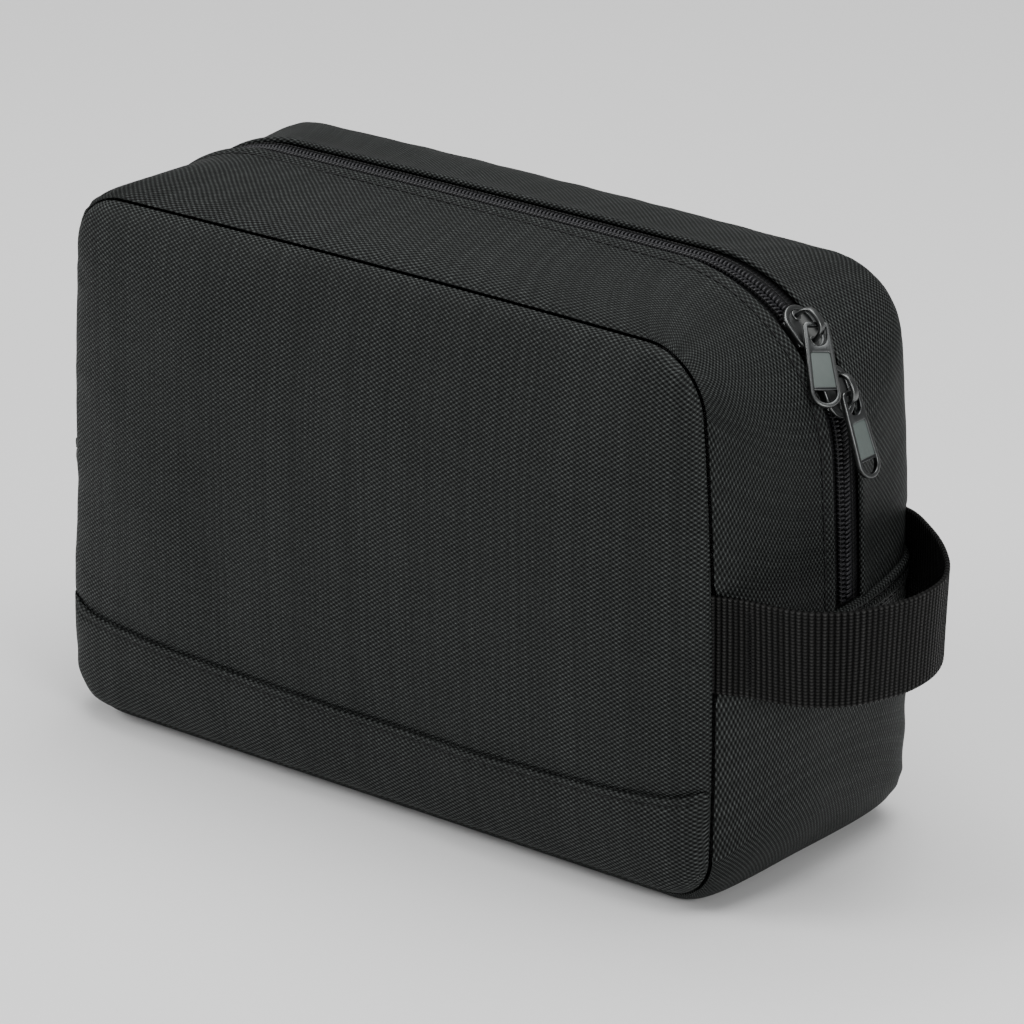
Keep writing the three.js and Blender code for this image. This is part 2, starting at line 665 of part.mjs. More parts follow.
function pullSolid() {
  const outline = pullOutline(0);
  outline.holes.push(forkHole(), fingerHole());
  const half = PULL_THICKNESS / 2;
  const body = plate(outline, -half, half);
  const recess = plate(inlayShape(GAP), half - INLAY_THICKNESS - GAP, half + 1);
  return body.subtract(recess);
}

function inlaySolid() {
  const high = PULL_THICKNESS / 2 - 0.1;
  return plate(inlayShape(0), high - INLAY_THICKNESS + 0.1, high);
}

// A frame on the zip's middle line: along the zip towards the top, across it, and outward.
function zipFrame(degrees) {
  const step = 0.02;
  const station = shoulderStation(degrees);
  const at = gussetPoint(station, ZIP_Y);
  const along = gussetPoint(station + step, ZIP_Y).sub(gussetPoint(station - step, ZIP_Y)).normalize();
  const out = new THREE.Vector3(along.z, 0, -along.x);
  return { at, along, out };
}

function placeSlider(name, degrees, towards, pullAim, pullFace) {
  const { at, along, out } = zipFrame(degrees);
  const ahead = along.clone().multiplyScalar(towards);
  const side = out.clone().cross(ahead);
  const frame = new THREE.Group();
  frame.applyMatrix4(new THREE.Matrix4().makeBasis(ahead, side, out).setPosition(at));
  bag.add(frame);
  addPiece(`slider_${name}`, toGeometry(sliderSolid()), gunmetal, frame);

  const pivot = at.clone().addScaledVector(along, PIVOT_ALONG).addScaledVector(out, PIVOT_ABOVE);
  const aim = pullAim.clone().normalize();
  const face = pullFace.clone().addScaledVector(aim, -pullFace.dot(aim)).normalize();
  const sideways = face.clone().cross(aim);
  const hang = new THREE.Group();
  hang.applyMatrix4(new THREE.Matrix4().makeBasis(aim, sideways, face).setPosition(pivot));
  bag.add(hang);
  addPiece(`pull_${name}`, toGeometry(pullSolid()), gunmetal, hang);
  addPiece(`pull_${name}_inlay`, toGeometry(inlaySolid()), inlayPlate, hang);
}

const upper = zipFrame(UPPER_SLIDER_ANGLE);
const lower = zipFrame(LOWER_SLIDER_ANGLE);
const across = new THREE.Vector3(0, 1, 0);
// The upper pull leans off the zip to the front; the lower one lies straight down the zip.
const upperAim = upper.along.clone().multiplyScalar(-0.88)
  .addScaledVector(across, -0.38)
  .addScaledVector(upper.out, -0.15);
const upperFace = upper.out.clone().addScaledVector(across, -0.3);
const lowerAim = lower.along.clone().multiplyScalar(-1).addScaledVector(lower.out, -0.09);
placeSlider('upper', UPPER_SLIDER_ANGLE, -1, upperAim, upperFace);
placeSlider('lower', LOWER_SLIDER_ANGLE, 1, lowerAim, lower.out);

// ---------------------------------------------------------------- carrying loop
// Plan of the webbing's middle, from its front end to its rear end; x is measured from the seam.
const seamX = halfOutline(stationAtHeight(WEBBING_CENTRE_HEIGHT, -SEAM_DEPTH / 2), 0).x;
const loopPlan = [
  [1.5, -47.4], [9, -45.2], [20, -43], [31, -39.2], [40, -30], [44.5, -14], [45, 0],
  [40, 11.5], [28, 24], [14, 37], [7, 43.4], [1.5, 47.4],
];
const loopCurve = new THREE.CatmullRomCurve3(
  loopPlan.map(([x, y]) => new THREE.Vector3(seamX + x, y, WEBBING_CENTRE_HEIGHT)),
  false, 'centripetal',
);

// Rows across the webbing, on its outer and its inner face, wherever the wanted test says so.
function webbingBand(isWanted) {
  const count = 36;
  const outer = [];
  const inner = [];
  for (let i = 0; i <= count; i++) {
    const p = loopCurve.getPointAt(i / count);
    const direction = loopCurve.getTangentAt(i / count);
    const out = new THREE.Vector3(direction.y, -direction.x, 0).normalize();
    const reach = p.x - seamX;
    if (isWanted(reach, p.y)) {
      const rowOut = [];
      const rowIn = [];
      for (const end of [-1, 1]) {
        const height = end * WEBBING_WIDTH / 2;
        const flare = LOOP_FLARE * height * Math.min(1, Math.max(0, reach - 2) / 30);
        const middle = p.clone().addScaledVector(out, flare).setZ(p.z + height);
        rowOut.push(middle.clone().addScaledVector(out, WEBBING_THICKNESS / 2));
        rowIn.push(middle.clone().addScaledVector(out, -WEBBING_THICKNESS / 2));
      }
      outer.push(rowOut);
      inner.push(rowIn);
    }
  }
  return { outer, inner };
}

const looseBand = webbingBand((reach) => reach >= WEBBING_FIXED_END + 0.2);
const looseSolid = toSolid(sheetGeometry(looseBand.inner, looseBand.outer, false));
addPiece('handle_webbing', toGeometry(looseSolid), webbing);

for (const [name, side] of [['front', -1], ['rear', 1]]) {
  const band = webbingBand((reach, y) => reach <= WEBBING_FIXED_END - 0.2 && Math.sign(y) === side);
  const solid = toSolid(sheetGeometry(band.inner, band.outer, false));
  addPiece(`handle_end_${name}`, toGeometry(solid.subtract(bagBulk())), webbing);
}

// Everything inside the gusset's outer surface, grown by the working gap.
function bagBulk() {
  const stations = spacedStations(0, FULL_TURN, 8);
  stations.pop();
  const depths = easedDepths(-SEAM_DEPTH / 2, SEAM_DEPTH / 2, 12);
  const shell = stations.map((s) => depths.map((y) => gussetPoint(s, y, -LAYER_GAP)));
  const core = stations.map(() => depths.map((y) => new THREE.Vector3(0, y, PANEL_HEIGHT / 2)));
  const shellPoints = shell.length * depths.length;
  const geometry = sheetGeometry(shell, core, true);
  const kept = [];
  const triangles = Array.from(geometry.index.array);
  for (let i = 0; i < triangles.length; i += 3) {
    const triangle = triangles.slice(i, i + 3);
    if (!triangle.every((v) => v >= shellPoints)) {
      kept.push(...triangle);
    }
  }
  geometry.setIndex(kept);
  return toSolid(geometry);
}

export default bag;
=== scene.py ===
"""The looks of the zipped wash bag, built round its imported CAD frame. Sizes are in millimetres
until a mesh is made; the frame and every Blender object are in metres."""

import math

import bmesh
import bpy
import numpy as np
from mathutils import Matrix, Vector


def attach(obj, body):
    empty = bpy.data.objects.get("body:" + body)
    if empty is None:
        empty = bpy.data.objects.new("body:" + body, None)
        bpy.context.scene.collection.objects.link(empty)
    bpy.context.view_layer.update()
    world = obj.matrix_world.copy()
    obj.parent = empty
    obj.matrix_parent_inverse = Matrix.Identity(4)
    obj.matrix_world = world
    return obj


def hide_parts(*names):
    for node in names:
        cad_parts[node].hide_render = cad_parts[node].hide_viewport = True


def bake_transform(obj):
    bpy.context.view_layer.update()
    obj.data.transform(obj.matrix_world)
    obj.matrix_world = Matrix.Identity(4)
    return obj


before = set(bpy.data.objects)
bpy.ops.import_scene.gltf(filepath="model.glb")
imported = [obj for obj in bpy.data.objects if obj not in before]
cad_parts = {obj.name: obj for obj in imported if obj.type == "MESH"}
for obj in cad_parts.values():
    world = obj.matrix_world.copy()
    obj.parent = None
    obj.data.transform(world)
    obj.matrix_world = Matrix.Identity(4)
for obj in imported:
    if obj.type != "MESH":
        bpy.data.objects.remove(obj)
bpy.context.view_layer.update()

MM = 0.001

# ------------------------------------------------------------------ sizes, mostly the CAD part's own
PANEL_WIDTH = 260.0
PANEL_HEIGHT = 178.5
SEAM_DEPTH = 98.0
SEAM_LIFT = 4.5
TOP_CORNER = 20.0
TOP_SOFTENING = 24.0
BOTTOM_CORNER = 14.0
BOTTOM_SOFTENING = 15.0
SIDE_BOW = 3.4
TOP_BOW = 1.1
FOOT_SPREAD = 1.9
SIDE_BULGE = 11.3
SLIM_END = 3.3
TOP_BULGE = 8.8
BASE_BULGE = 10.6
PANEL_PUFF = 11.5
PUFF_MARGIN = 55.0
BAND_MIDDLE = 34.7
BAND_SAG = 4.0
BAND_END_RISE = 3.0
ZIP_END = 90.0
ZIP_Y = 4.5
ZIP_HALF_OPENING = 7.3
TAPE_HALF_WIDTH = 15.0
TAPE_SINK = 2.2
COIL_HALF_WIDTH = 3.3
COIL_SINK = 1.1
COIL_PITCH = 1.5
OPEN_GAP = 1.7
CLOSED_GAP = 0.2
UPPER_SLIDER_ANGLE = 42.0
LOWER_SLIDER_ANGLE = 20.5
WEBBING_WIDTH = 32.0
WEBBING_THICKNESS = 1.6
WEBBING_RIB = 1.9
WEBBING_CENTRE_HEIGHT = 91.0
CORE_HALF = 40.0
SHOULDER_START = 3.0
TOP_MIDDLE = 5.0
FULL_TURN = 10.0

CLOTH_THICKNESS = 0.9
THIN_CLOTH = 0.55
TAPE_THICKNESS = 0.6

# Yarn spacing of the cloth, along a panel or strip and across it.
YARN_ALONG = 1.12
YARN_ACROSS = 0.76

# ------------------------------------------------------------------ camera
CAMERA_AZIMUTH = math.radians(39.79)
CAMERA_ELEVATION = math.radians(21.24)
CAMERA_DISTANCE = 1.968
CAMERA_LENS = 214.7
CAMERA_ROLL = -0.008
AIM_HEIGHT = 0.095
AIM_RIGHT = 0.0105
AIM_UP = -0.0074


def make_camera():
    a, e = CAMERA_AZIMUTH, CAMERA_ELEVATION
    right = Vector((math.cos(a), math.sin(a), 0))
    back = Vector((math.sin(a) * math.cos(e), -math.cos(a) * math.cos(e), math.sin(e)))
    up = back.cross(right)
    aim = Vector((0, 0, AIM_HEIGHT)) + right * AIM_RIGHT + up * AIM_UP
    data = bpy.data.cameras.new("camera")
    data.lens = CAMERA_LENS
    data.clip_end = 20
    camera = bpy.data.objects.new("camera", data)
    turned_right = right * math.cos(CAMERA_ROLL) + up * math.sin(CAMERA_ROLL)
    turned_up = back.cross(turned_right)
    axes = Matrix((turned_right, turned_up, back)).transposed()
    camera.matrix_world = Matrix.Translation(aim + back * CAMERA_DISTANCE) @ axes.to_4x4()
    bpy.context.scene.collection.objects.link(camera)
    bpy.context.scene.camera = camera


make_camera()


# ------------------------------------------------------------------ sums used all through
def unit(vectors):
    """Each vector of the last axis, made one long."""
    return vectors / np.maximum(np.linalg.norm(vectors, axis=-1, keepdims=True), 1e-9)


def clamp(value):
    return np.clip(value, 0, 1)


def eased(share):
    """A share from 0 to 1 that starts and ends gently."""
    return share * share * (3 - 2 * share)


def run_length(line):
    """Distance of each of a line's points from the first, along the line."""
    return np.concatenate([[0], np.cumsum(np.linalg.norm(np.diff(line, axis=0), axis=1))])


def along_line(at, length, line):
    """The line's values at distances along it."""
    return np.stack([np.interp(at, length, column) for column in line.T], -1)


# ------------------------------------------------------------------ the bag's outside shape
def half_outline(station, softness):
    """Half of a seam-like outline, from the middle of the base to the middle of the top."""
    s = np.asarray(station, float)
    half_width = PANEL_WIDTH / 2
    top = TOP_CORNER + TOP_SOFTENING * softness
    bottom = BOTTOM_CORNER + BOTTOM_SOFTENING * softness
    shoulder_z = SEAM_LIFT + PANEL_HEIGHT - top
    corner_z = SEAM_LIFT + bottom
    base = s <= 1
    corner = (s > 1) & (s <= 2)
    side = (s > 2) & (s <= 3)
    shoulder = (s > 3) & (s <= 4)
    low_angle = (s - 2) * math.pi / 2
    high_angle = (s - 3) * math.pi / 2
    angle = np.select([base, corner, side, shoulder],
                      [-math.pi / 2, low_angle, 0 * s, high_angle], math.pi / 2)
    x = np.select(
        [base, corner, side, shoulder],
        [(half_width - bottom) * s, half_width - bottom + bottom * np.cos(low_angle),
         half_width + 0 * s, half_width - top + top * np.cos(high_angle)],
        (half_width - top) * (TOP_MIDDLE - s))
    z = np.select(
        [base, corner, side, shoulder],
        [SEAM_LIFT + 0 * s, corner_z + bottom * np.sin(low_angle),
         corner_z + (shoulder_z - corner_z) * (s - 2), shoulder_z + top * np.sin(high_angle)],
        SEAM_LIFT + PANEL_HEIGHT)
    across = x / half_width
    upward = (z - SEAM_LIFT) / (PANEL_HEIGHT / 2) - 1
    x = x + across * (SIDE_BOW * (1 - upward**2) - FOOT_SPREAD * upward)
    z = z + np.maximum(upward, 0) * TOP_BOW * (1 - across**2)
    return x, z, np.cos(angle), np.sin(angle)


def gusset(station, y, inset=0.0):
    """Points on the gusset, station 0 to 10 round the bag and y across it, as an array of xyz."""
    s, y = np.broadcast_arrays(np.asarray(station, float), np.asarray(y, float))
    depth = clamp(y / SEAM_DEPTH + 0.5)
    softness = 4 * depth * (1 - depth)
    mirrored = s > TOP_MIDDLE
    x, z, nx, nz = half_outline(np.where(mirrored, FULL_TURN - s, s), softness)
    vertical = np.where(nz > 0, TOP_BULGE, BASE_BULGE)
    reach = (vertical * nz**2 + SIDE_BULGE * nx**2) * np.sqrt(softness) - inset
    x = x + nx * reach
    z = np.maximum(z + nz * reach, 0)
    return np.stack([np.where(mirrored, -x, x), y, z], -1)


def surface(station, y, height):
    """Gusset points raised by a height along the surface's own outward normal."""
    s, y = np.broadcast_arrays(np.asarray(station, float), np.asarray(y, float))
    step_s, step_y = 0.004, 0.2
    limit = SEAM_DEPTH / 2 - 0.05
    along = gusset(s + step_s, y) - gusset(s - step_s, y)
    across = (gusset(s, np.clip(y + step_y, -limit, limit))
              - gusset(s, np.clip(y - step_y, -limit, limit)))
    return gusset(s, y) + unit(np.cross(across, along)) * np.asarray(height)[..., None]


def station_at_height(height, y=0.0):
    low, high = 1.0, TOP_MIDDLE
    for _ in range(40):
        middle = (low + high) / 2
        if gusset(middle, y)[2] < height:
            low = middle
        else:
            high = middle
    return (low + high) / 2


def shoulder_station(degrees):
    return SHOULDER_START + degrees / 90


def ripple(a, b, wavelength, seed):
    """A smooth, repeatable unevenness between about -1 and 1."""
    rng = np.random.default_rng(seed)
    total = np.zeros(np.broadcast(a, b).shape)
    for _ in range(7):
        turn = rng.uniform(0, 2 * math.pi)
        size = wavelength * rng.uniform(0.7, 1.6)
        phase = rng.uniform(0, 2 * math.pi)
        total += np.sin((a * math.cos(turn) + b * math.sin(turn)) * 2 * math.pi / size + phase)
    return total / 4


# ------------------------------------------------------------------ meshes
def new_object(name, mesh, kind):
    """An object of one material, its kind a key of MATERIALS."""
    piece = bpy.data.objects.new(name, mesh)
    bpy.context.scene.collection.objects.link(piece)
    mesh.materials.append(MATERIALS[kind])
    mesh.polygons.foreach_set("use_smooth", [True] * len(mesh.polygons))
    return piece


def grid_faces(rows, columns, closed_rows=False, closed_columns=False):
    r = np.arange(rows if closed_rows else rows - 1)
    c = np.arange(columns if closed_columns else columns - 1)
    r, c = np.meshgrid(r, c, indexing="ij")
    r2, c2 = (r + 1) % rows, (c + 1) % columns
    quads = np.stack([r * columns + c, r * columns + c2, r2 * columns + c2, r2 * columns + c], -1)
    return quads.reshape(-1, 4)


def tube_faces(rows, sides):
    """Faces round a tube of point rings, and one over each end."""
    last = (rows - 1) * sides
    ends = [list(range(sides)), list(range(last, last + sides))[::-1]]
    return grid_faces(rows, sides, closed_columns=True).tolist() + ends


def mesh_from(name, points, faces, uv=None):
    """A mesh from points, faces and places on the cloth, brought from millimetres to metres."""
    mesh = bpy.data.meshes.new(name)
    in_metres = (np.asarray(points).reshape(-1, 3) * MM).tolist()
    mesh.from_pydata(in_metres, [], [list(map(int, face)) for face in faces])
    if uv is not None:
        layer = mesh.uv_layers.new(name="Cloth")
        flat = np.asarray(uv, float).reshape(-1, 2) * MM
        loops = np.empty(len(mesh.loops), dtype=np.int32)
        mesh.loops.foreach_get("vertex_index", loops)
        layer.data.foreach_set("uv", flat[loops].ravel())
    mesh.validate()
    mesh.update()
    return mesh


def solid(name, points, faces, kind, uv=None):
    """An object whose faces all look outward."""
    mesh = mesh_from(name, points, faces, uv)
    work = bmesh.new()
    work.from_mesh(mesh)
    bmesh.ops.recalc_face_normals(work, faces=work.faces)
    work.to_mesh(mesh)
    work.free()
    return new_object(name, mesh, kind)


def cloth_grid(name, outer, uv, thickness, kind):
    """A closed sheet under a grid of outside points: the same grid again, a thickness further in."""
    rows, columns = outer.shape[:2]
    normal = unit(np.cross(np.gradient(outer, axis=1), np.gradient(outer, axis=0)))
    inner = outer - normal * thickness
    top = grid_faces(rows, columns)
    count = rows * columns
    index = np.arange(count).reshape(rows, columns)
    rims = []
    for edge in (index[0, :][::-1], index[-1, :], index[:, 0], index[:, -1][::-1]):
        rim = np.stack([edge[:-1], edge[1:], edge[1:] + count, edge[:-1] + count], -1)
        rims.append(rim[:, ::-1])
    points = np.concatenate([outer.reshape(-1, 3), inner.reshape(-1, 3)])
    faces = np.concatenate([top, top[:, ::-1] + count] + rims)
    return solid(name, points, faces, kind, np.concatenate([uv.reshape(-1, 2)] * 2))


def join_meshes(name, parts, kind):
    """One object from several (points, faces) lists."""
    points, faces, start = [], [], 0
    for part_points, part_faces in parts:
        part_points = np.asarray(part_points).reshape(-1, 3)
        points.append(part_points)
        faces.extend([[int(v) + start for v in face] for face in part_faces])
        start += len(part_points)
    mesh = mesh_from(name, np.concatenate(points), faces)
    return new_object(name, mesh, kind)


def tube(path, radius, sides):
    """Points and faces of a tube along a path, its radius one value or one for each point."""
    path = np.asarray(path, float)
    tangent = unit(np.gradient(path, axis=0))
    normal = np.empty_like(path)
    normal[0] = unit(np.cross(tangent[0], [0, 0, 1] if abs(tangent[0][2]) < 0.9 else [0, 1, 0]))
    for i in range(1, len(path)):
        normal[i] = unit(normal[i - 1] - tangent[i] * np.dot(normal[i - 1], tangent[i]))
    binormal = np.cross(tangent, normal)
    turn = np.linspace(0, 2 * math.pi, sides, endpoint=False)[None, :, None]
    ring = np.cos(turn) * normal[:, None] + np.sin(turn) * binormal[:, None]
    radii = np.broadcast_to(np.asarray(radius, float), (len(path),))
    points = (path[:, None] + ring * radii[:, None, None]).reshape(-1, 3)
    return points, tube_faces(len(path), sides)


def sweep(path, section, sideways):
    """A closed bar: a section (sideways, outward) carried along a path that lies in one plane."""
    section = np.asarray(section, float)
    sideways = np.asarray(sideways, float)
    outward = unit(np.cross(unit(np.gradient(path, axis=0)), sideways))
    points = path[:, None] + section[None, :, :1] * sideways + section[None, :, 1:] * outward[:, None]
    return points.reshape(-1, 3), tube_faces(len(path), len(section))


def rounded_section(width, height, radius, steps=3):
    points = []
    for cx, cy, start in ((1, 1, 0), (-1, 1, 90), (-1, -1, 180), (1, -1, 270)):
        for i in range(steps + 1):
            angle = math.radians(start + 90 * i / steps)
            points.append([cx * (width / 2 - radius) + radius * math.cos(angle),
                           cy * (height / 2 - radius) + radius * math.sin(angle)])
    return points


def flat_plate(outline, holes, low, high, bevel):
    """Points and faces of a plate with holes and rounded edges, lying in XY."""
    curve = bpy.data.curves.new("plate", "CURVE")
    curve.dimensions = "2D"
    curve.fill_mode = "BOTH"
    for loop in [outline] + list(holes):
        spline = curve.splines.new("POLY")
        spline.points.add(len(loop) - 1)
        for point, (x, y) in zip(spline.points, loop):
            point.co = (x, y, 0, 1)
        spline.use_cyclic_u = True
    curve.extrude = (high - low) / 2 - bevel
    curve.bevel_depth = bevel
    curve.bevel_resolution = 2
    curve.offset = -bevel
    holder = bpy.data.objects.new("plate", curve)
    bpy.context.scene.collection.objects.link(holder)
    bpy.context.view_layer.update()
    evaluated = holder.evaluated_get(bpy.context.evaluated_depsgraph_get())
    mesh = bpy.data.meshes.new_from_object(evaluated)
    work = bmesh.new()
    work.from_mesh(mesh)
    bmesh.ops.remove_doubles(work, verts=work.verts, dist=1e-4)
    bmesh.ops.recalc_face_normals(work, faces=work.faces)
    work.verts.ensure_lookup_table()
    points = np.array([v.co[:] for v in work.verts])
    points[:, 2] += (high + low) / 2
    faces = [[v.index for v in f.verts] for f in work.faces]
    work.free()
    bpy.data.objects.remove(holder)
    bpy.data.meshes.remove(mesh)
    return points, faces


def placed(part, origin, x_axis, y_axis, z_axis):
    points, faces = part
    axes = np.array([x_axis, y_axis, z_axis], float)
    return np.asarray(points) @ axes + np.asarray(origin, float), faces


# ------------------------------------------------------------------ materials
class Nodes:
    """A small helper for writing node trees."""

    def __init__(self, name, roughness, metallic=0.0, sheen=0.0, specular=0.5):
        self.material = bpy.data.materials.new(name)
        self.material.use_nodes = True
        self.tree = self.material.node_tree
        self.shader = self.tree.nodes["Principled BSDF"]
        self.shader.inputs["Roughness"].default_value = roughness
        self.shader.inputs["Metallic"].default_value = metallic
        self.shader.inputs["Specular IOR Level"].default_value = specular
        self.shader.inputs["Sheen Weight"].default_value = sheen
        self.shader.inputs["Sheen Roughness"].default_value = 0.45

    def put(self, socket, value):
        if isinstance(value, bpy.types.NodeSocket):
            self.tree.links.new(value, socket)
        elif value is not None:
            socket.default_value = value

    def math(self, operation, a, b=None, c=None):
        node = self.tree.nodes.new("ShaderNodeMath")
        node.operation = operation
        for socket, value in zip(node.inputs, (a, b, c)):
            self.put(socket, value)
        return node.outputs[0]

    def cloth_uv(self):
        node = self.tree.nodes.new("ShaderNodeUVMap")
        node.uv_map = "Cloth"
        split = self.tree.nodes.new("ShaderNodeSeparateXYZ")
        self.put(split.inputs[0], node.outputs[0])
        return node.outputs[0], split.outputs[0], split.outputs[1]

    def place(self):
        return self.tree.nodes.new("ShaderNodeTexCoord").outputs["Object"]

    def noise(self, vector, scale, detail=3.0, roughness=0.5, stretch=None):
        if stretch is not None:
            mapping = self.tree.nodes.new("ShaderNodeMapping")
            mapping.inputs["Scale"].default_value = stretch
            self.put(mapping.inputs["Vector"], vector)
            vector = mapping.outputs[0]
        node = self.tree.nodes.new("ShaderNodeTexNoise")
        node.inputs["Scale"].default_value = scale
        node.inputs["Detail"].default_value = detail
        node.inputs["Roughness"].default_value = roughness
        self.put(node.inputs["Vector"], vector)
        return node.outputs["Fac"]

    def white(self, value):
        node = self.tree.nodes.new("ShaderNodeTexWhiteNoise")
        node.noise_dimensions = "1D"
        self.put(node.inputs["W"], value)
        return node.outputs["Value"]

    def spread(self, value, low, high):
        """A 0 to 1 value moved to low to high."""
        return self.math("MULTIPLY_ADD", value, high - low, low)

    def sine(self, value, half_wave):
        """A wave over a length, from the millimetres that half of the wave takes."""
        return self.math("SINE", self.math("DIVIDE", value, half_wave * MM / math.pi))

    def product(self, first, *rest):
        for value in rest:
            first = self.math("MULTIPLY", first, value)
        return first

    def tint(self, colour, strength):
        """A fixed colour times a strength that varies over the surface."""
        node = self.tree.nodes.new("ShaderNodeVectorMath")
        node.operation = "SCALE"
        node.inputs[0].default_value = colour
        self.put(node.inputs["Scale"], strength)
        return node.outputs[0]

    def mix(self, share, a, b):
        node = self.tree.nodes.new("ShaderNodeMix")
        node.data_type = "RGBA"
        self.put(node.inputs[0], share)
        for socket, value in ((node.inputs[6], a), (node.inputs[7], b)):
            self.put(socket, (*value, 1) if isinstance(value, tuple) and len(value) == 3 else value)
        return node.outputs[2]

    def either(self, choice, a, b):
        """Value a where choice is 0, b where it is 1."""
        node = self.tree.nodes.new("ShaderNodeMix")
        node.data_type = "FLOAT"
        for socket, value in zip((node.inputs[0], node.inputs[2], node.inputs[3]), (choice, a, b)):
            self.put(socket, value)
        return node.outputs[0]

    def edges(self, low, high):
        """0 on flats, towards 1 on sharp outer edges."""
        node = self.tree.nodes.new("ShaderNodeNewGeometry")
        spread = self.tree.nodes.new("ShaderNodeMapRange")
        spread.inputs["From Min"].default_value = low
        spread.inputs["From Max"].default_value = high
        self.put(spread.inputs["Value"], node.outputs["Pointiness"])
        return spread.outputs[0]

    def finish(self, colour, bump=None, distance=0.0002, strength=1.0, roughness=None):
        self.put(self.shader.inputs["Base Color"], colour)
        self.put(self.shader.inputs["Roughness"], roughness)
        if bump is not None:
            node = self.tree.nodes.new("ShaderNodeBump")
            node.inputs["Distance"].default_value = distance
            node.inputs["Strength"].default_value = strength
            self.put(node.inputs["Height"], bump)
            self.put(self.shader.inputs["Normal"], node.outputs[0])
        return self.material


def make_cloth():
    """A plain weave: yarns cross over and under in a chequer of small domes, with painted highlights on
    the yarns lying on top and painted shade where they cross.
    """
    contrast, roughness = 0.95, 0.55
    n = Nodes("outer_fabric", roughness, specular=0.07)
    uv, u, v = n.cloth_uv()
    wander = n.noise(uv, 60, 2)
    a = n.math("ADD", n.math("DIVIDE", u, YARN_ALONG * MM), n.spread(wander, -0.35, 0.35))
    b = n.math("ADD", n.math("DIVIDE", v, YARN_ACROSS * MM), n.spread(wander, 0.3, -0.3))
    waves = [n.math("SINE", n.math("MULTIPLY", yarn, math.pi)) for yarn in (a, b)]
    chequer = n.product(*waves)
    dome = n.math("POWER", n.math("ABSOLUTE", chequer), 0.6)
    float_over = n.math("POWER", n.spread(chequer, 0.5, 1.0), 2.0)
    on_top = n.math("GREATER_THAN", chequer, 0.0)
    yarn_a = n.white(n.math("FLOOR", a))
    yarn_b = n.white(n.math("FLOOR", n.math("ADD", b, 400.5)))
    # Each yarn has its own random tone; the yarns lying on top get a higher range of it, a painted sheen.
    yarn = n.either(on_top, n.spread(yarn_b, 0.82, 1.12), n.spread(yarn_a, 0.9, 1.24))
    cloud = n.spread(n.noise(uv, 14, 4, 0.6), 0.82, 1.2)
    speck = n.spread(n.noise(uv, 700, 2, 0.6), 0.5, 1.55)
    # The cloth is made lighter along its sharp folds and edges.
    lighter_edges = n.spread(n.edges(0.5, 0.6), 1.0, 1.5)
    # Painted highlight on the yarns lying on top and painted shade in the gaps where the yarns cross.
    shade = n.spread(float_over, 1 - contrast, 1 + contrast * 2.6)
    light = n.product(shade, yarn, cloud, speck, lighter_edges)
    height = n.math("ADD", n.product(float_over, 1.6), n.product(dome, 0.5))
    rough = n.spread(n.noise(uv, 40, 3), roughness - 0.06, roughness + 0.08)
    return n.finish(n.tint((0.0195, 0.0212, 0.0206), light), height, 0.0004, 0.9, rough)


def make_webbing():
    """Cross ribs with a fine twill on them."""
    n = Nodes("webbing", 0.55, specular=0.06)
    uv, u, v = n.cloth_uv()
    rib = n.math("ABSOLUTE", n.sine(u, WEBBING_RIB))
    twill = n.math("ADD", n.math("DIVIDE", v, 0.55 * MM / math.pi), n.product(rib, 2.0))
    fine = n.math("SINE", twill)
    yarn = n.spread(n.white(n.math("FLOOR", n.math("DIVIDE", u, WEBBING_RIB * MM))), 0.8, 1.25)
    speck = n.spread(n.noise(uv, 900, 2), 0.7, 1.3)
    # The webbing is made lighter along its sharp edges.
    lighter_edges = n.spread(n.edges(0.5, 0.6), 1.0, 1.7)
    # Painted highlight on the rib tops and painted shade in the grooves between the ribs.
    light = n.product(n.spread(n.product(rib, rib), 0.06, 1.9), n.spread(fine, 0.7, 1.2),
                      yarn, speck, lighter_edges)
    height = n.math("ADD", rib, n.product(fine, 0.2))
    return n.finish(n.tint((0.0115, 0.0115, 0.0112), light), height, 0.0004, 0.9)


def make_tape():
    n = Nodes("zip_tape", 0.75, specular=0.1)
    uv, u, v = n.cloth_uv()
    chevron = n.math("PINGPONG", n.math("DIVIDE", v, 1.6 * MM), 1.0)
    twill = n.math("ADD", n.math("DIVIDE", u, 0.7 * MM / math.pi), n.product(chevron, 3.0))
    slant = n.math("SINE", twill)
    light = n.product(n.spread(slant, 0.9, 1.25), n.spread(n.noise(uv, 500, 3), 0.8, 1.2))
    return n.finish(n.tint((0.012, 0.0122, 0.013), light), slant, 0.00015, 0.8)


def make_nylon():
    n = Nodes("zip_coil", 0.4, specular=0.25)
    spot = n.place()
    light = n.product(n.spread(n.noise(spot, 160, 3), 0.75, 1.3), n.spread(n.edges(0.45, 0.6), 0.8, 1.5))
    return n.finish(n.tint((0.013, 0.013, 0.0145), light), n.noise(spot, 2500, 2), 0.00002, 0.4,
                    n.spread(n.noise(spot, 300, 2), 0.28, 0.42))


def make_thread():
    n = Nodes("stitching", 0.6, sheen=0.02, specular=0.25)
    spot = n.place()
    ply = n.noise(spot, 2600, 2, stretch=(1, 1, 2.5))
    light = n.product(n.spread(ply, 0.55, 1.5), n.spread(n.noise(spot, 120, 2), 0.85, 1.2))
    return n.finish(n.tint((0.0065, 0.0067, 0.007), light), ply, 0.0001, 0.8)


def make_lining():
    n = Nodes("lining", 0.42, sheen=0.1)
    uv, u, v = n.cloth_uv()
    ribs = n.sine(u, 0.35)
    cross = n.sine(v, 0.5)
    fold = n.noise(uv, 22, 4, 0.6)
    light = n.product(n.spread(ribs, 0.93, 1.1), n.spread(cross, 0.95, 1.06), n.spread(fold, 0.8, 1.25))
    height = n.math("ADD", n.product(ribs, 0.15), n.product(fold, 3.0))
    return n.finish(n.tint((0.03, 0.031, 0.033), light), height, 0.0004, 0.7)


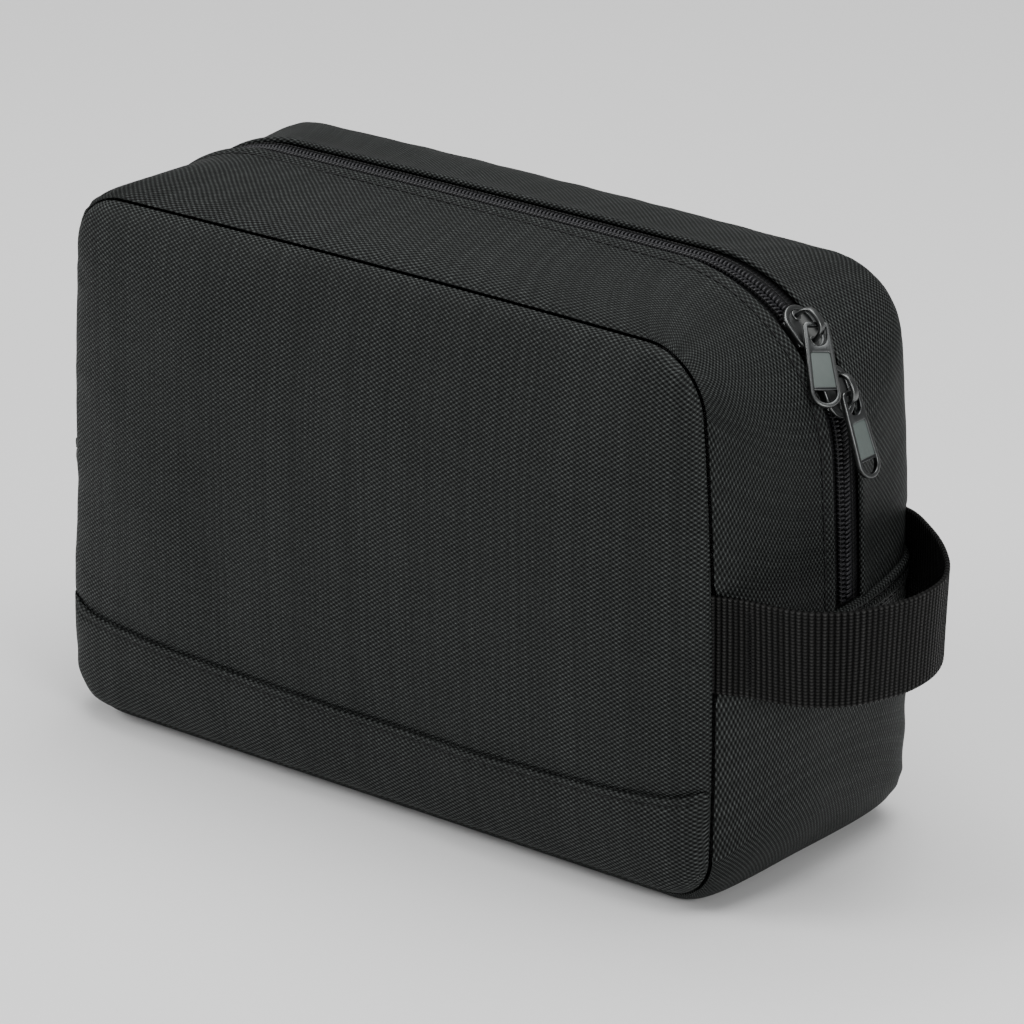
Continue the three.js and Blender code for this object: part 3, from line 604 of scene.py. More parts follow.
def make_foam():
    n = Nodes("foam", 0.95, specular=0.2)
    spot = n.place()
    cell = n.tree.nodes.new("ShaderNodeTexVoronoi")
    cell.inputs["Scale"].default_value = 900
    n.put(cell.inputs["Vector"], spot)
    pores = cell.outputs["Distance"]
    light = n.product(n.spread(pores, 0.7, 1.3), n.spread(n.noise(spot, 30, 3), 0.85, 1.15))
    return n.finish(n.tint((0.16, 0.16, 0.165), light), pores, 0.0003, 0.8)


def make_board():
    n = Nodes("board", 0.7)
    spot = n.place()
    grain = n.noise(spot, 700, 4, 0.7, (1, 4, 1))
    light = n.product(n.spread(grain, 0.75, 1.25), n.spread(n.edges(0.5, 0.6), 1.0, 1.6))
    return n.finish(n.tint((0.05, 0.049, 0.048), light), grain, 0.0001, 0.6)


def make_binding():
    n = Nodes("binding", 0.7, sheen=0.2)
    uv, u, _ = n.cloth_uv()
    ribs = n.sine(u, 0.9)
    light = n.product(n.spread(ribs, 0.7, 1.15), n.spread(n.noise(uv, 300, 3), 0.8, 1.2))
    return n.finish(n.tint((0.02, 0.02, 0.021), light), ribs, 0.0002, 0.8)


def make_gunmetal():
    n = Nodes("gunmetal", 0.3, metallic=1.0)
    spot = n.place()
    scratch = n.noise(spot, 900, 4, 0.7, (1, 6, 0.4))
    cloud = n.noise(spot, 90, 3)
    worn = n.edges(0.5, 0.62)
    base = n.mix(cloud, (0.028, 0.03, 0.031), (0.055, 0.058, 0.06))
    colour = n.mix(n.product(worn, n.spread(scratch, 0.4, 1.0)), base, (0.4, 0.41, 0.4))
    rough = n.math("ADD", n.spread(scratch, 0.22, 0.36), n.product(cloud, 0.08))
    return n.finish(colour, scratch, 0.00003, 0.5, rough)


def make_inlay():
    n = Nodes("pull_inlay", 0.5, specular=0.35)
    spot = n.place()
    brushed = n.noise(spot, 1200, 3, 0.6, (0.4, 5, 0.4))
    cloud = n.noise(spot, 150, 3)
    # The plate is made lighter along its sharp edges.
    lighter_edges = n.spread(n.edges(0.5, 0.6), 1.0, 1.3)
    light = n.product(n.spread(brushed, 0.85, 1.15), n.spread(cloud, 0.85, 1.15), lighter_edges)
    return n.finish(n.tint((0.075, 0.09, 0.085), light), brushed, 0.00003, 0.5,
                    n.spread(cloud, 0.42, 0.6))


MATERIALS = {
    "cloth": make_cloth(),
    "webbing": make_webbing(),
    "tape": make_tape(),
    "coil": make_nylon(),
    "thread": make_thread(),
    "lining": make_lining(),
    "foam": make_foam(),
    "board": make_board(),
    "binding": make_binding(),
    "metal": make_gunmetal(),
    "inlay": make_inlay(),
}


def slim_plain_end(mesh):
    """Draws the plain end in at mid-height, where nothing pulls its seams out straight."""
    points = np.empty(len(mesh.vertices) * 3)
    mesh.vertices.foreach_get("co", points)
    x, _, z = points.reshape(-1, 3).T
    towards_end = clamp((-x / MM - 45) / 80)
    above_foot = clamp((z / MM - 38) / 48)
    below_top = clamp((184 - z / MM) / 24)
    x += SLIM_END * MM * eased(towards_end) * eased(above_foot) * eased(below_top)
    mesh.vertices.foreach_set("co", points)
    mesh.update()


def add(piece, kind, body=None, replaces=(), blend=None):
    """Draws in the plain end, hides the CAD nodes the piece stands for and hangs it on its body's empty,
    or with a blend leaves it fixed in place; the kind is not used.
    """
    slim_plain_end(piece.data)
    if replaces:
        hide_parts(*replaces)
    if blend:
        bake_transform(piece)
    else:
        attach(piece, body)
    return piece


FOLD = ("shell", "front_flap", (0, 0, 0.098), (0, 0, 0.128))
SIDES = (("front", -1), ("back", 1))


def add_split(piece, kind, node, side):
    """A front piece stands for a node split at the fold and is fixed in place; a back one stays put on
    the shell.
    """
    if side < 0:
        add(piece, kind, replaces=(node, node + "_base"), blend=FOLD)
    else:
        add(piece, kind, "shell", (node,))


# ------------------------------------------------------------------ front and back panels
RIM_STEPS = 1200
RIM_TO_TOP = RIM_STEPS // 2 + 1
RIM_TO_SHOULDER = RIM_STEPS // 3
RIM_TO_SIDE = RIM_STEPS // 6


def seam_rim(inset=0.0):
    """The panel outline as a closed line of x, z and its outward way, from the middle of the base."""
    s = np.linspace(0, FULL_TURN, RIM_STEPS + 1)[:-1]
    x, z, nx, nz = half_outline(np.where(s > TOP_MIDDLE, FULL_TURN - s, s), 0.0)
    sign = np.where(s > TOP_MIDDLE, -1, 1)
    return np.stack([sign * (x - nx * inset), z - nz * inset, sign * nx, nz], -1)


MIDDLE_Z = SEAM_LIFT + PANEL_HEIGHT / 2


def puff_height(x, z):
    """How far a panel stands out of its seam's plane at a point."""
    rim = seam_rim()[:RIM_TO_TOP]
    ax, rise = np.abs(x), z - MIDDLE_Z
    reaches = []
    for half in (rim[rim[:, 1] > MIDDLE_Z], rim[rim[:, 1] <= MIDDLE_Z]):
        half = half[np.argsort(half[:, 0])]
        reaches.append(np.abs(np.interp(ax, half[:, 0], half[:, 1]) - MIDDLE_Z))
    straight = np.abs(rise) / np.where(rise > 0, *reaches)
    beyond = rim[rim[:, 0] >= CORE_HALF - 0.5]
    turn = np.arctan2(beyond[:, 1] - MIDDLE_Z, beyond[:, 0] - CORE_HALF)
    reach = np.hypot(beyond[:, 1] - MIDDLE_Z, beyond[:, 0] - CORE_HALF)
    order = np.argsort(turn)
    radius = np.hypot(rise, ax - CORE_HALF)
    slanted = radius / np.interp(np.arctan2(rise, ax - CORE_HALF), turn[order], reach[order])
    scale = np.where(ax <= CORE_HALF, straight, slanted)
    from_edge = clamp((1 - scale) * (PANEL_WIDTH / 2 - CORE_HALF) / PUFF_MARGIN)
    return PANEL_PUFF * np.sqrt(1 - (1 - from_edge)**2)


def rim_point(a, b, rim):
    """Where the ray to (a, b) on a square's edge meets the outline, by length along each side."""
    corner = [int(np.argmin(np.abs(rim[:, 2] * sx + rim[:, 3] * sz - math.sqrt(2))))
              for sx, sz in ((1, -1), (1, 1), (-1, 1), (-1, -1))]
    ring = np.vstack([rim, rim[:1]])
    length = run_length(ring[:, :2])
    total = length[-1]
    at = length[corner]
    m = np.maximum(np.abs(a), np.abs(b))
    m = np.where(m == 0, 1, m)
    a, b = a / m, b / m
    right = at[0] + (at[1] - at[0]) * (b + 1) / 2
    top = at[1] + (at[2] - at[1]) * (1 - a) / 2
    left = at[2] + (at[3] - at[2]) * (1 - b) / 2
    under = at[3] + (total + at[0] - at[3]) * (a + 1) / 2
    on_side = [a >= 1 - 1e-9, b >= 1 - 1e-9, a <= -1 + 1e-9]
    along = np.select(on_side, [right, top, left], under) % total
    return along_line(along, length, ring), along


def spread_evenly(count):
    t = np.linspace(-1, 1, count)
    return 0.45 * t + 0.55 * np.sin(t * math.pi / 2)


# Where cloth is turned into a seam: how much deeper into the bag, and how far inward.
TURN_INS = ((0.5, 0.15), (1.4, 0.8), (3.2, 2.4))
PANEL_PLANE = SEAM_DEPTH / 2 + 0.8


def panel_grid(columns, rows, inset=0.0, turned=True):
    """Flat grid of a whole panel: x, z, depth into the seam allowance and length round the rim."""
    rim = seam_rim(inset)
    a_line, b_line = spread_evenly(columns), spread_evenly(rows)
    if turned:
        # Closer rows where the panel dips in along the band's seam.
        b_line = np.sort(np.concatenate([b_line, np.linspace(-0.69, -0.55, 22)]))
        extra = 1 + 0.01 * np.arange(1, len(TURN_INS) + 1)
        a_line = np.concatenate([-extra[::-1], a_line, extra])
        b_line = np.concatenate([-extra[::-1], b_line, extra])
    a, b = np.meshgrid(a_line, b_line, indexing="ij")
    m = np.maximum(np.abs(a), np.abs(b))
    edge, along = rim_point(a, b, rim)
    inside = np.minimum(m, 1)
    x = edge[..., 0] * inside
    z = MIDDLE_Z + (edge[..., 1] - MIDDLE_Z) * inside
    ring = np.clip(np.rint((m - 1) * 100), 0, len(TURN_INS)).astype(int)
    deeper, inward = np.array([(0, 0), *TURN_INS]).T[:, ring]
    x = x - edge[..., 2] * inward
    z = z - edge[..., 3] * inward
    from_rim = np.hypot(edge[..., 0] - x, edge[..., 1] - z)
    return x, z, deeper, along, from_rim, ring


def formed_height(x, z, side):
    """The puff of a new panel, with hollows and swells a palm wide."""
    puff = puff_height(x, z)
    fade = clamp(puff / (0.85 * PANEL_PUFF))**3
    slow = 0.75 * ripple(x, z, 78, 3 if side < 0 else 9) + 0.3 * ripple(x, z, 31, 5 if side < 0 else 12)
    return puff + slow * fade


SETTLE_X = np.linspace(-136, 136, 69)
SETTLE_Z = np.linspace(1, 187, 48)
SETTLE_FRAMES = 24
SETTLE_SHARE = 0.35
SETTLE_LIMIT = 1.2
CLOTH_SETTINGS = {"vertex_group_mass": "held", "quality": 8, "mass": 0.3, "air_damping": 3,
                  "tension_stiffness": 25, "compression_stiffness": 25, "shear_stiffness": 12,
                  "bending_stiffness": 2, "shrink_min": -0.004, "use_pressure": True,
                  "uniform_pressure_force": 4}


def settled_offset(side):
    """Cloth simulation of one padded panel, held along its seam and pushed out by what it holds."""
    x, z = np.meshgrid(SETTLE_X, SETTLE_Z, indexing="ij")
    height = formed_height(x, z, side)
    points = np.stack([x, side * (SEAM_DEPTH / 2 + height), z], -1)
    faces = grid_faces(*x.shape)
    if side < 0:
        faces = [face[::-1] for face in faces]
    sheet = new_object("settling", mesh_from("settling", points, faces), "cloth")
    held = sheet.vertex_groups.new(name="held")
    near_seam = puff_height(x, z) < 2.5
    near_band = np.abs(z - band_line(x)) < 2.2
    held.add(np.flatnonzero(near_seam | near_band).tolist(), 1.0, "REPLACE")
    cloth = sheet.modifiers.new("Cloth", "CLOTH")
    for setting, value in CLOTH_SETTINGS.items():
        setattr(cloth.settings, setting, value)
    cloth.settings.effector_weights.gravity = 0
    cloth.point_cache.frame_start = 1
    cloth.point_cache.frame_end = SETTLE_FRAMES
    scene = bpy.context.scene
    for frame_number in range(1, SETTLE_FRAMES + 1):
        scene.frame_set(frame_number)
    rested = sheet.evaluated_get(bpy.context.evaluated_depsgraph_get())
    moved = np.empty(len(rested.data.vertices) * 3)
    rested.data.vertices.foreach_get("co", moved)
    offset = side * (moved.reshape(*x.shape, 3) - points * MM)[..., 1] / MM
    scene.frame_set(1)
    bpy.data.objects.remove(sheet)
    inner = puff_height(x, z) > 0.8 * PANEL_PUFF
    offset = offset - offset[inner].mean() * clamp(puff_height(x, z) / PANEL_PUFF)
    return np.clip(offset * SETTLE_SHARE, -SETTLE_LIMIT, SETTLE_LIMIT)


def on_grid(table, x, z):
    """Value at x, z between the points of a settled table."""
    i, j = (np.clip((at - line[0]) / (line[1] - line[0]), 0, len(line) - 1.001)
            for at, line in ((x, SETTLE_X), (z, SETTLE_Z)))
    a, b = i.astype(int), j.astype(int)
    u, v = i - a, j - b
    u, v = eased(u), eased(v)
    return ((table[a, b] * (1 - u) + table[a + 1, b] * u) * (1 - v)
            + (table[a, b + 1] * (1 - u) + table[a + 1, b + 1] * u) * v)


SETTLED = {}


def panel_height(x, z, side):
    """How far the padded cloth stands out of its seam's plane."""
    height = formed_height(x, z, side)
    if side not in SETTLED:
        SETTLED[side] = settled_offset(side)
    return height + on_grid(SETTLED[side], x, z)


def band_line(x):
    """Height of the band's folded edge, lowest in the middle and drawn up at the side seams."""
    ax = np.abs(x)
    return BAND_MIDDLE + BAND_SAG * (ax / 120)**2 + BAND_END_RISE * clamp((ax - 118) / 14)**2


def band_pull(below):
    """How far the band's seam draws the padding in, at heights below or above its edge."""
    return np.exp(-(below / 4.5)**2)


def band_crease(x, z, from_rim):
    """The panel dips in along the band's seam."""
    above = z - band_line(x)
    dip = 0.9 * np.exp(-((above - 0.3) / 0.9)**2) + 0.55 * band_pull(above)
    return dip * np.clip(from_rim / 3, 0.3, 1)


def seam_pucker(along, distance, size, seed):
    """Small gathers where the stitches pull, fading away from the seam."""
    return size * np.exp(-distance / 6.5) * ripple(along, along * 0.37, 11, seed)


def lengthwise(flat, out, axis):
    """Distance along one way of a grid, measured on the surface from the grid's middle line."""
    step = np.diff(flat, axis=axis)
    step = np.hypot(step, np.diff(out, axis=axis)) * np.sign(step)
    start = np.zeros_like(np.take(flat, [0], axis=axis))
    total = np.concatenate([start, np.cumsum(step, axis=axis)], axis)
    middle = [flat.shape[axis] // 2]
    return total - np.take(total, middle, axis=axis) + np.take(flat, middle, axis=axis)


def panel_cloth(name, side):
    x, z, deeper, along, from_rim, ring = panel_grid(150, 106)
    height = panel_height(x, z, side) - band_crease(x, z, from_rim)
    height = height + seam_pucker(along, from_rim, 0.5, 20) * clamp(from_rim / 2)
    height = np.where(ring > 0, 0, height)
    y = side * (PANEL_PLANE + height - deeper)
    thickness = CLOTH_THICKNESS * np.where(ring > 0, 0.35, 1.0)
    outer = np.stack([x, y, z], -1)[::side]
    x, y, z = np.moveaxis(outer, -1, 0)
    uv = np.stack([lengthwise(x, y, 0), lengthwise(z, y, 1)], -1)
    return cloth_grid(name, outer, uv, thickness[::side, :, None], "cloth")


for name, side in SIDES:
    add_split(panel_cloth(name + "_panel_cloth", side), "cloth", name + "_panel", side)


BAND_STITCH_BELOW = 2.3


def band_cloth(name, side):
    """The deeper strip sewn across a panel's foot, its top edge folded and stitched down."""
    rim = seam_rim()
    lower = np.concatenate([rim[RIM_TO_TOP:], rim[:RIM_TO_TOP]])
    right = rim[:RIM_TO_SHOULDER]
    at_edge = np.argmin(np.abs(right[:, 1] - band_line(right[:, 0])))
    half_top = float(rim[at_edge, 0]) - 0.4
    lower = lower[lower[:, 1] < band_line(half_top) - 2.0]
    length = run_length(lower[:, :2])
    along = np.linspace(0, length[-1], 230)
    edge = along_line(along, length, lower)
    share = np.linspace(-1, 1, len(along))
    top_x = half_top * (0.75 * share + 0.25 * edge[:, 0] / np.abs(edge[:, 0]).max())
    top_z = band_line(top_x)
    # Rows up the band, closer together near the fold along its top.
    face = np.concatenate([np.linspace(0, 0.84, 16), np.linspace(0.87, 1, 14)])
    x = edge[:, None, 0] + (top_x - edge[:, 0])[:, None] * face
    z = edge[:, None, 1] + (top_z - edge[:, 1])[:, None] * face
    from_rim = np.hypot(x - edge[:, None, 0], z - edge[:, None, 1])
    from_side = clamp((np.abs(half_top) - np.abs(x)) / 5)
    off_rim = clamp(from_rim / 3)
    below = top_z[:, None] - z
    stitch_groove = 1 - 0.55 * np.exp(-((below - BAND_STITCH_BELOW) / 0.6)**2)
    fold = 1.1 * np.sqrt(clamp(below / 0.8)) * stitch_groove
    raised = 0.3 + fold * off_rim * (0.15 + 0.85 * from_side)
    height = panel_height(x, z, side) - 0.5 * band_pull(below) * off_rim + raised
    height = height + seam_pucker(along[:, None], from_rim, 0.4, 33) * clamp(from_rim / 2)
    outer = np.stack([x, side * (PANEL_PLANE + height), z], -1)
    turned = []
    for deeper, inward in TURN_INS[::-1]:
        base = outer[:, 0].copy()
        base[:, [0, 2]] -= edge[:, 2:] * inward
        base[:, 1] = side * (PANEL_PLANE + 0.2 - deeper)
        turned.append(base)
    under = outer[:, -1:] - [0, side * 0.9, 0.15]
    outer = np.concatenate([np.stack(turned, 1), outer, under], 1)[:, ::side]
    uv = np.stack([outer[..., 0], lengthwise(outer[..., 2], outer[..., 1], 1)], -1)
    return cloth_grid(name, outer, uv, THIN_CLOTH, "cloth")


# Length, gap and radius of each kind of stitch.
BAND_STITCH = (2.6, 0.95, 0.24)
GUSSET_STITCH = (2.3, 0.8, 0.27)
STRIP_STITCH = (2.7, 0.9, 0.3)
COIL_STITCH = (1.25, 0.25, 0.24)


def stitch_row(path, length, gap, radius, sides=6):
    """Rounded stitches lying along a path of points, each dipping into the cloth at both ends."""
    path = np.asarray(path, float)
    distance = run_length(path)
    parts = []
    start = gap / 2
    while start + length < distance[-1]:
        t = np.linspace(0, 1, 7)
        points = along_line(start + t * length, distance, path)
        parts.append(tube(points, radius * np.sqrt(np.clip(1 - (2 * t - 1)**4, 0.06, 1)), sides))
        start += length + gap
    return parts


def band_stitch_line(side):
    seam_x, seam_z = seam_rim()[RIM_TO_SIDE:RIM_TO_SHOULDER, :2].T
    half = float(np.interp(BAND_MIDDLE, seam_z, seam_x)) - 2.5
    x = np.linspace(-half, half, 400)
    z = band_line(x) - BAND_STITCH_BELOW
    height = panel_height(x, z, side) - 0.5 * band_pull(BAND_STITCH_BELOW) + 0.8
    return np.stack([x, side * (PANEL_PLANE + height), z], -1)


def add_threads(name, rows, **where):
    """Rows of stitches as one piece."""
    add(join_meshes(name, rows, "thread"), "thread", **where)


for name, side in SIDES:
    add(band_cloth(name + "_band_cloth", side), "cloth", "shell", (name + "_band",))
    row = stitch_row(band_stitch_line(side), *BAND_STITCH)
    add_threads(name + "_band_stitches", row, body="shell")


def panel_layer(name, kind, side, inset, behind, thickness):
    """A sheet that follows a panel from behind."""
    x, z = panel_grid(70, 50, inset, turned=False)[:2]
    y = side * (PANEL_PLANE + panel_height(x, z, side) - behind)
    outer = np.stack([x, y, z], -1)[::side]
    return cloth_grid(name, outer, outer[..., ::2], thickness, kind)


FOAM_BEHIND = 2.4
FOAM_THICKNESS = 2.0
LINING_BEHIND = 4.9
LINING_THICKNESS = 0.5
for name, side in SIDES:
    foam = panel_layer(f"foam_{name}_sheet", "foam", side, 4.4, FOAM_BEHIND, FOAM_THICKNESS)
    add_split(foam, "foam", "foam_" + name, side)
for name, side in SIDES:
    lining = panel_layer(f"lining_{name}_cloth", "lining", side, 5.2, LINING_BEHIND, LINING_THICKNESS)
    add_split(lining, "lining", "lining_" + name, side)

# ------------------------------------------------------------------ gusset and zip strips
SEAM_EDGE = SEAM_DEPTH / 2 - 0.15


def depth_line(first, last, count):
    """Depths across the bag, closer together near the seams."""
    to_angle = [math.asin(max(-1, min(1, y / SEAM_EDGE))) for y in (first, last)]
    return np.sin(np.linspace(*to_angle, count)) * SEAM_EDGE


def outline_normal(station):
    s = np.mod(station, FULL_TURN)
    mirrored = s > TOP_MIDDLE
    _, _, nx, nz = half_outline(np.where(mirrored, FULL_TURN - s, s), 0.0)
    return np.where(mirrored, -nx, nx), nz


def strip_points(stations, depths, height, seams):
    """A strip's outside, raised by height, turned in at its front seam (-1), its rear one (1) or both."""
    s, y = np.meshgrid(np.mod(stations, FULL_TURN), depths, indexing="ij")
    outer = surface(s, y, height)
    nx, nz = outline_normal(stations)
    for side in seams:
        edge = outer[:, 0 if side < 0 else -1]
        rings = np.stack([edge - np.stack([nx * inward, side * deeper + 0 * nx, nz * inward], -1)
                          for deeper, inward in TURN_INS], 1)
        parts = [outer, rings] if side > 0 else [rings[:, ::-1], outer]
        outer = np.concatenate(parts, 1)
    outer[..., 2] = np.maximum(outer[..., 2], 0)
    return outer


def strip_cloth(name, outer, thickness):
    middle = outer.shape[1] // 2
    across = np.linalg.norm(np.diff(outer, axis=1), axis=-1)
    u = run_length(outer[:, middle])[:, None]
    v = np.concatenate([0 * u, np.cumsum(across, axis=1)], 1)
    v = v - v[:, middle:middle + 1]
    return cloth_grid(name, outer, np.stack([u + 0 * v, v], -1), thickness, "cloth")


def round_the_bag(first, last, spacing):
    """Stations between two stations, evenly spaced along the gusset's middle."""
    fine = np.linspace(first, last, 6000)
    length = run_length(gusset(np.mod(fine, FULL_TURN), 0.0))
    even = np.linspace(0, length[-1], max(3, int(length[-1] / spacing)))
    return np.interp(even, length, fine), even


END_STATION = station_at_height(ZIP_END)
UNDER_STATION = station_at_height(ZIP_END - 7)


def webbing_dent(stations, depths, edge):
    """The gusset is pulled in where the webbing's ends come out of the side seams."""
    s, y = np.meshgrid(np.mod(stations, FULL_TURN), depths, indexing="ij")
    z = gusset(s, y)[..., 2]
    window = clamp((19.5 - np.abs(z - WEBBING_CENTRE_HEIGHT)) / 3.5)
    right = (s > 1) & (s < TOP_MIDDLE)
    return 1.6 * np.exp(-(edge / 5.0)**2) * eased(window) * right


def gusset_unevenness(length, depths, seed):
    """Slow swells of the gusset, with each point's distance from the seams and round the bag."""
    l, y = np.meshgrid(length, depths, indexing="ij")
    slow = 0.55 * ripple(l, y, 66, seed) + 0.15 * ripple(l, y, 26, seed + 1) - 0.35
    edge = SEAM_EDGE - np.abs(y)
    return slow * clamp(edge / 18), edge, l


END_CURL = 1.4


def base_gusset():
    stations, length = round_the_bag(-END_STATION, END_STATION, 1.7)
    # Closer rows over the last few millimetres, where the folded edge is stitched.
    near_end = np.linspace(0, 9, 26)
    between = length[(length > 9.5) & (length < length[-1] - 9.5)]
    rows = np.concatenate([near_end, between, length[-1] - near_end[::-1]])
    stations = np.interp(rows, length, stations)
    depths = depth_line(-SEAM_EDGE, SEAM_EDGE, 64)
    slow, edge, l = gusset_unevenness(rows, depths, 41)
    from_end = np.minimum(rows, rows[-1] - rows)[:, None]
    ridge = np.interp(from_end, [0, 0.35, 1.0, 2.0, 2.7, 3.4, 4.8, 5.8, 6.4, 7.2, 9.0],
                      [0.5, 1.5, 1.85, 1.6, 0.95, 1.5, 1.65, 1.2, 0.75, 0.45, 0])
    ridge = ridge * clamp(edge / 8)**0.6
    off_base = clamp((gusset(np.mod(stations, FULL_TURN), 0.0)[:, 2] - 1) / 12)[:, None]
    height = slow * off_base + ridge
    height = height + seam_pucker(l, edge, 0.4, 50) * clamp(edge / 1.5) * off_base
    height = height - webbing_dent(stations, depths, edge)
    outer = strip_points(stations, depths, height, (-1, 1))
    nx, _ = outline_normal(stations[[0, -1]])
    curls = outer[[0, -1]] - END_CURL * nx[:, None, None] * [1, 0, 0]
    outer = np.concatenate([curls[:1], outer, curls[1:]])
    return strip_cloth("base_gusset_cloth", outer, 0.8)


add(base_gusset(), "cloth", "shell", ("base_gusset",))


def end_stitches(from_end, raise_by):
    """A row across each end of the gusset, a distance down from its folded edge."""
    y = np.linspace(-SEAM_EDGE + 3, SEAM_EDGE - 3, 160)
    line = surface(np.full_like(y, station_at_height(ZIP_END - from_end)), y, raise_by)
    rows = [stitch_row(line * [sign, 1, 1], *GUSSET_STITCH) for sign in (1, -1)]
    return rows[0] + rows[1]


add_threads("gusset_fold_stitches", end_stitches(2.7, 0.95) + end_stitches(6.4, 0.72), body="shell")


def zip_strip(name, side):
    stations, length = round_the_bag(UNDER_STATION, FULL_TURN - UNDER_STATION, 1.6)
    fold_y = ZIP_Y + side * ZIP_HALF_OPENING
    from_fold = np.array([0, 0.25, 0.6, 1.1, 1.7, 2.4, 3.1, 3.7, 4.1, 4.5, 4.9, 5.4, 6.2, 7.4])
    # The front fold is topstitched, so its ridge dips at the thread.
    ridge_at = ([0.25, 0.75, 1.05, 1.2, 1.2, 1.05, 0.8, 0.45, 0.2, 0.1, 0.15, 0.3, 0.3, 0.15] if side < 0
                else [0.2, 0.5, 0.65, 0.7, 0.65, 0.55, 0.5, 0.42, 0.36, 0.3, 0.25, 0.2, 0.12, 0.05])
    near = fold_y + side * from_fold
    far = depth_line(fold_y + side * 8.6, side * SEAM_EDGE, 30)
    depths = np.concatenate([near, far])
    ridge = np.concatenate([ridge_at, 0 * far])
    if side < 0:
        depths, ridge = depths[::-1], ridge[::-1]
    slow, edge, l = gusset_unevenness(length, depths, 61 if side < 0 else 71)
    end = np.minimum(length, length[-1] - length)[:, None]
    clear = clamp(np.abs(depths - fold_y) / 14)
    height = slow * clear * 0.8 + ridge * clamp((end - 5) / 3)
    height = height + seam_pucker(l, edge, 0.55 if side < 0 else 0.2, 80) * clamp(edge / 1.5)
    height = height - 0.5 * clamp((9 - end) / 3) - webbing_dent(stations, depths, edge)
    outer = strip_points(stations, depths, height, (side,))
    under = np.stack([surface(np.mod(stations, FULL_TURN), fold_y + side * further, -deep)
                      for further, deep in ((0.05, 0.55), (0.5, 1.15), (4.0, 1.2))], 1)
    parts = [outer, under] if side < 0 else [under[:, ::-1], outer]
    return strip_cloth(name, np.concatenate(parts, 1), THIN_CLOTH)


def add_zip_piece(piece, kind, node, side):
    """The front half of the zip, which opens above the fold, stands for its node and the node's two ends
    and is fixed in place; the rear half rides on the shell.
    """
    if side < 0:
        nodes = [node + end for end in ("", "_end_right", "_end_left")]
        add(piece, kind, replaces=nodes, blend=FOLD)
    else:
        add(piece, kind, "shell", (node,))


ZIP_SIDES = (("front", -1), ("rear", 1))
for name, side in ZIP_SIDES:
    add_zip_piece(zip_strip(f"zip_strip_{name}_cloth", side), "cloth", "zip_strip_" + name, side)


def zip_line(offset, raise_by, first_height):
    """A line beside the zip, from one end of the bag to the other."""
    start = station_at_height(first_height)
    stations, _ = round_the_bag(start, FULL_TURN - start, 1.2)
    return surface(stations, ZIP_Y + offset, raise_by)


strip_line = zip_line(-ZIP_HALF_OPENING - 4.5, 0.3, ZIP_END + 1.5)
add_threads("zip_strip_stitches", stitch_row(strip_line, *STRIP_STITCH), blend=FOLD)

# ------------------------------------------------------------------ zip tapes and coils
BETWEEN_SLIDERS = shoulder_station((UPPER_SLIDER_ANGLE + LOWER_SLIDER_ANGLE) / 2)


def coil_gap(station):
    """Half of the opening between the coils: wide between the sliders, nearly shut elsewhere."""
    beyond = clamp((np.abs(station - BETWEEN_SLIDERS) - 0.155) / 0.06)
    return OPEN_GAP + (CLOSED_GAP - OPEN_GAP) * eased(beyond)


def zip_tape(name, side):
    start = station_at_height(ZIP_END - 3)
    stations, length = round_the_bag(start, FULL_TURN - start, 2.0)
    inner = coil_gap(stations)[:, None] - 0.15
    share = np.linspace(0, 1, 14)[::side]
    y = ZIP_Y + side * (inner + (TAPE_HALF_WIDTH - inner) * share)
    outer = surface(stations[:, None], y, -TAPE_SINK)
    uv = np.stack([length[:, None] + 0 * y, y], -1)
    return cloth_grid(name, outer, uv, TAPE_THICKNESS, "tape")


def coil(name, side):
    """A flattened spiral of nylon whose heads face the other tape's."""
    per_turn = 12
    start = station_at_height(ZIP_END + 0.4)
    stations, length = round_the_bag(start, FULL_TURN - start, 0.6)
    turns = int(length[-1] / COIL_PITCH) - 1
    t = np.arange(turns * per_turn) / per_turn
    at = (t + 0.5 + (0.25 if side < 0 else 0.75)) * COIL_PITCH
    s = np.interp(at, length, stations)
    phase = t * 2 * math.pi
    reach = np.cos(phase)
    head = clamp(reach)**6
    across = coil_gap(s) + 0.42 + (1 - reach) / 2 * (COIL_HALF_WIDTH - 0.95)
    up = -COIL_SINK + 0.52 * np.sin(phase) * (1 + 0.1 * head)
    path = surface(s, ZIP_Y + side * across, up)
    return solid(name, *tube(path, 0.4 + 0.16 * head, 6), "coil")


for name, side in ZIP_SIDES:
    add_zip_piece(zip_tape(f"zip_tape_{name}_ribbon", side), "tape", "zip_tape_" + name, side)
    add_zip_piece(coil(f"zip_coil_{name}_spiral", side), "coil", "zip_coil_" + name, side)
    sewing = stitch_row(zip_line(side * 3.35, -0.28, ZIP_END + 1), *COIL_STITCH, 5)
    where = {"blend": FOLD} if side < 0 else {"body": "shell"}
    add_threads(f"zip_coil_{name}_stitches", sewing, **where)


# ------------------------------------------------------------------ inside: lining, board, bindings
def inner_lining(name, first, last, front_y, rear_y, sink):
    """Lining a little under the gusset, between two stations and two depths."""
    stations, length = round_the_bag(first, last, 3.0)
    y = np.linspace(front_y, rear_y, 26)
    s, depth = np.meshgrid(np.mod(stations, FULL_TURN), y, indexing="ij")
    outer = gusset(s, depth, sink)
    uv = np.stack(np.meshgrid(length, y, indexing="ij"), -1)
    return cloth_grid(name, outer, uv, LINING_THICKNESS, "lining")


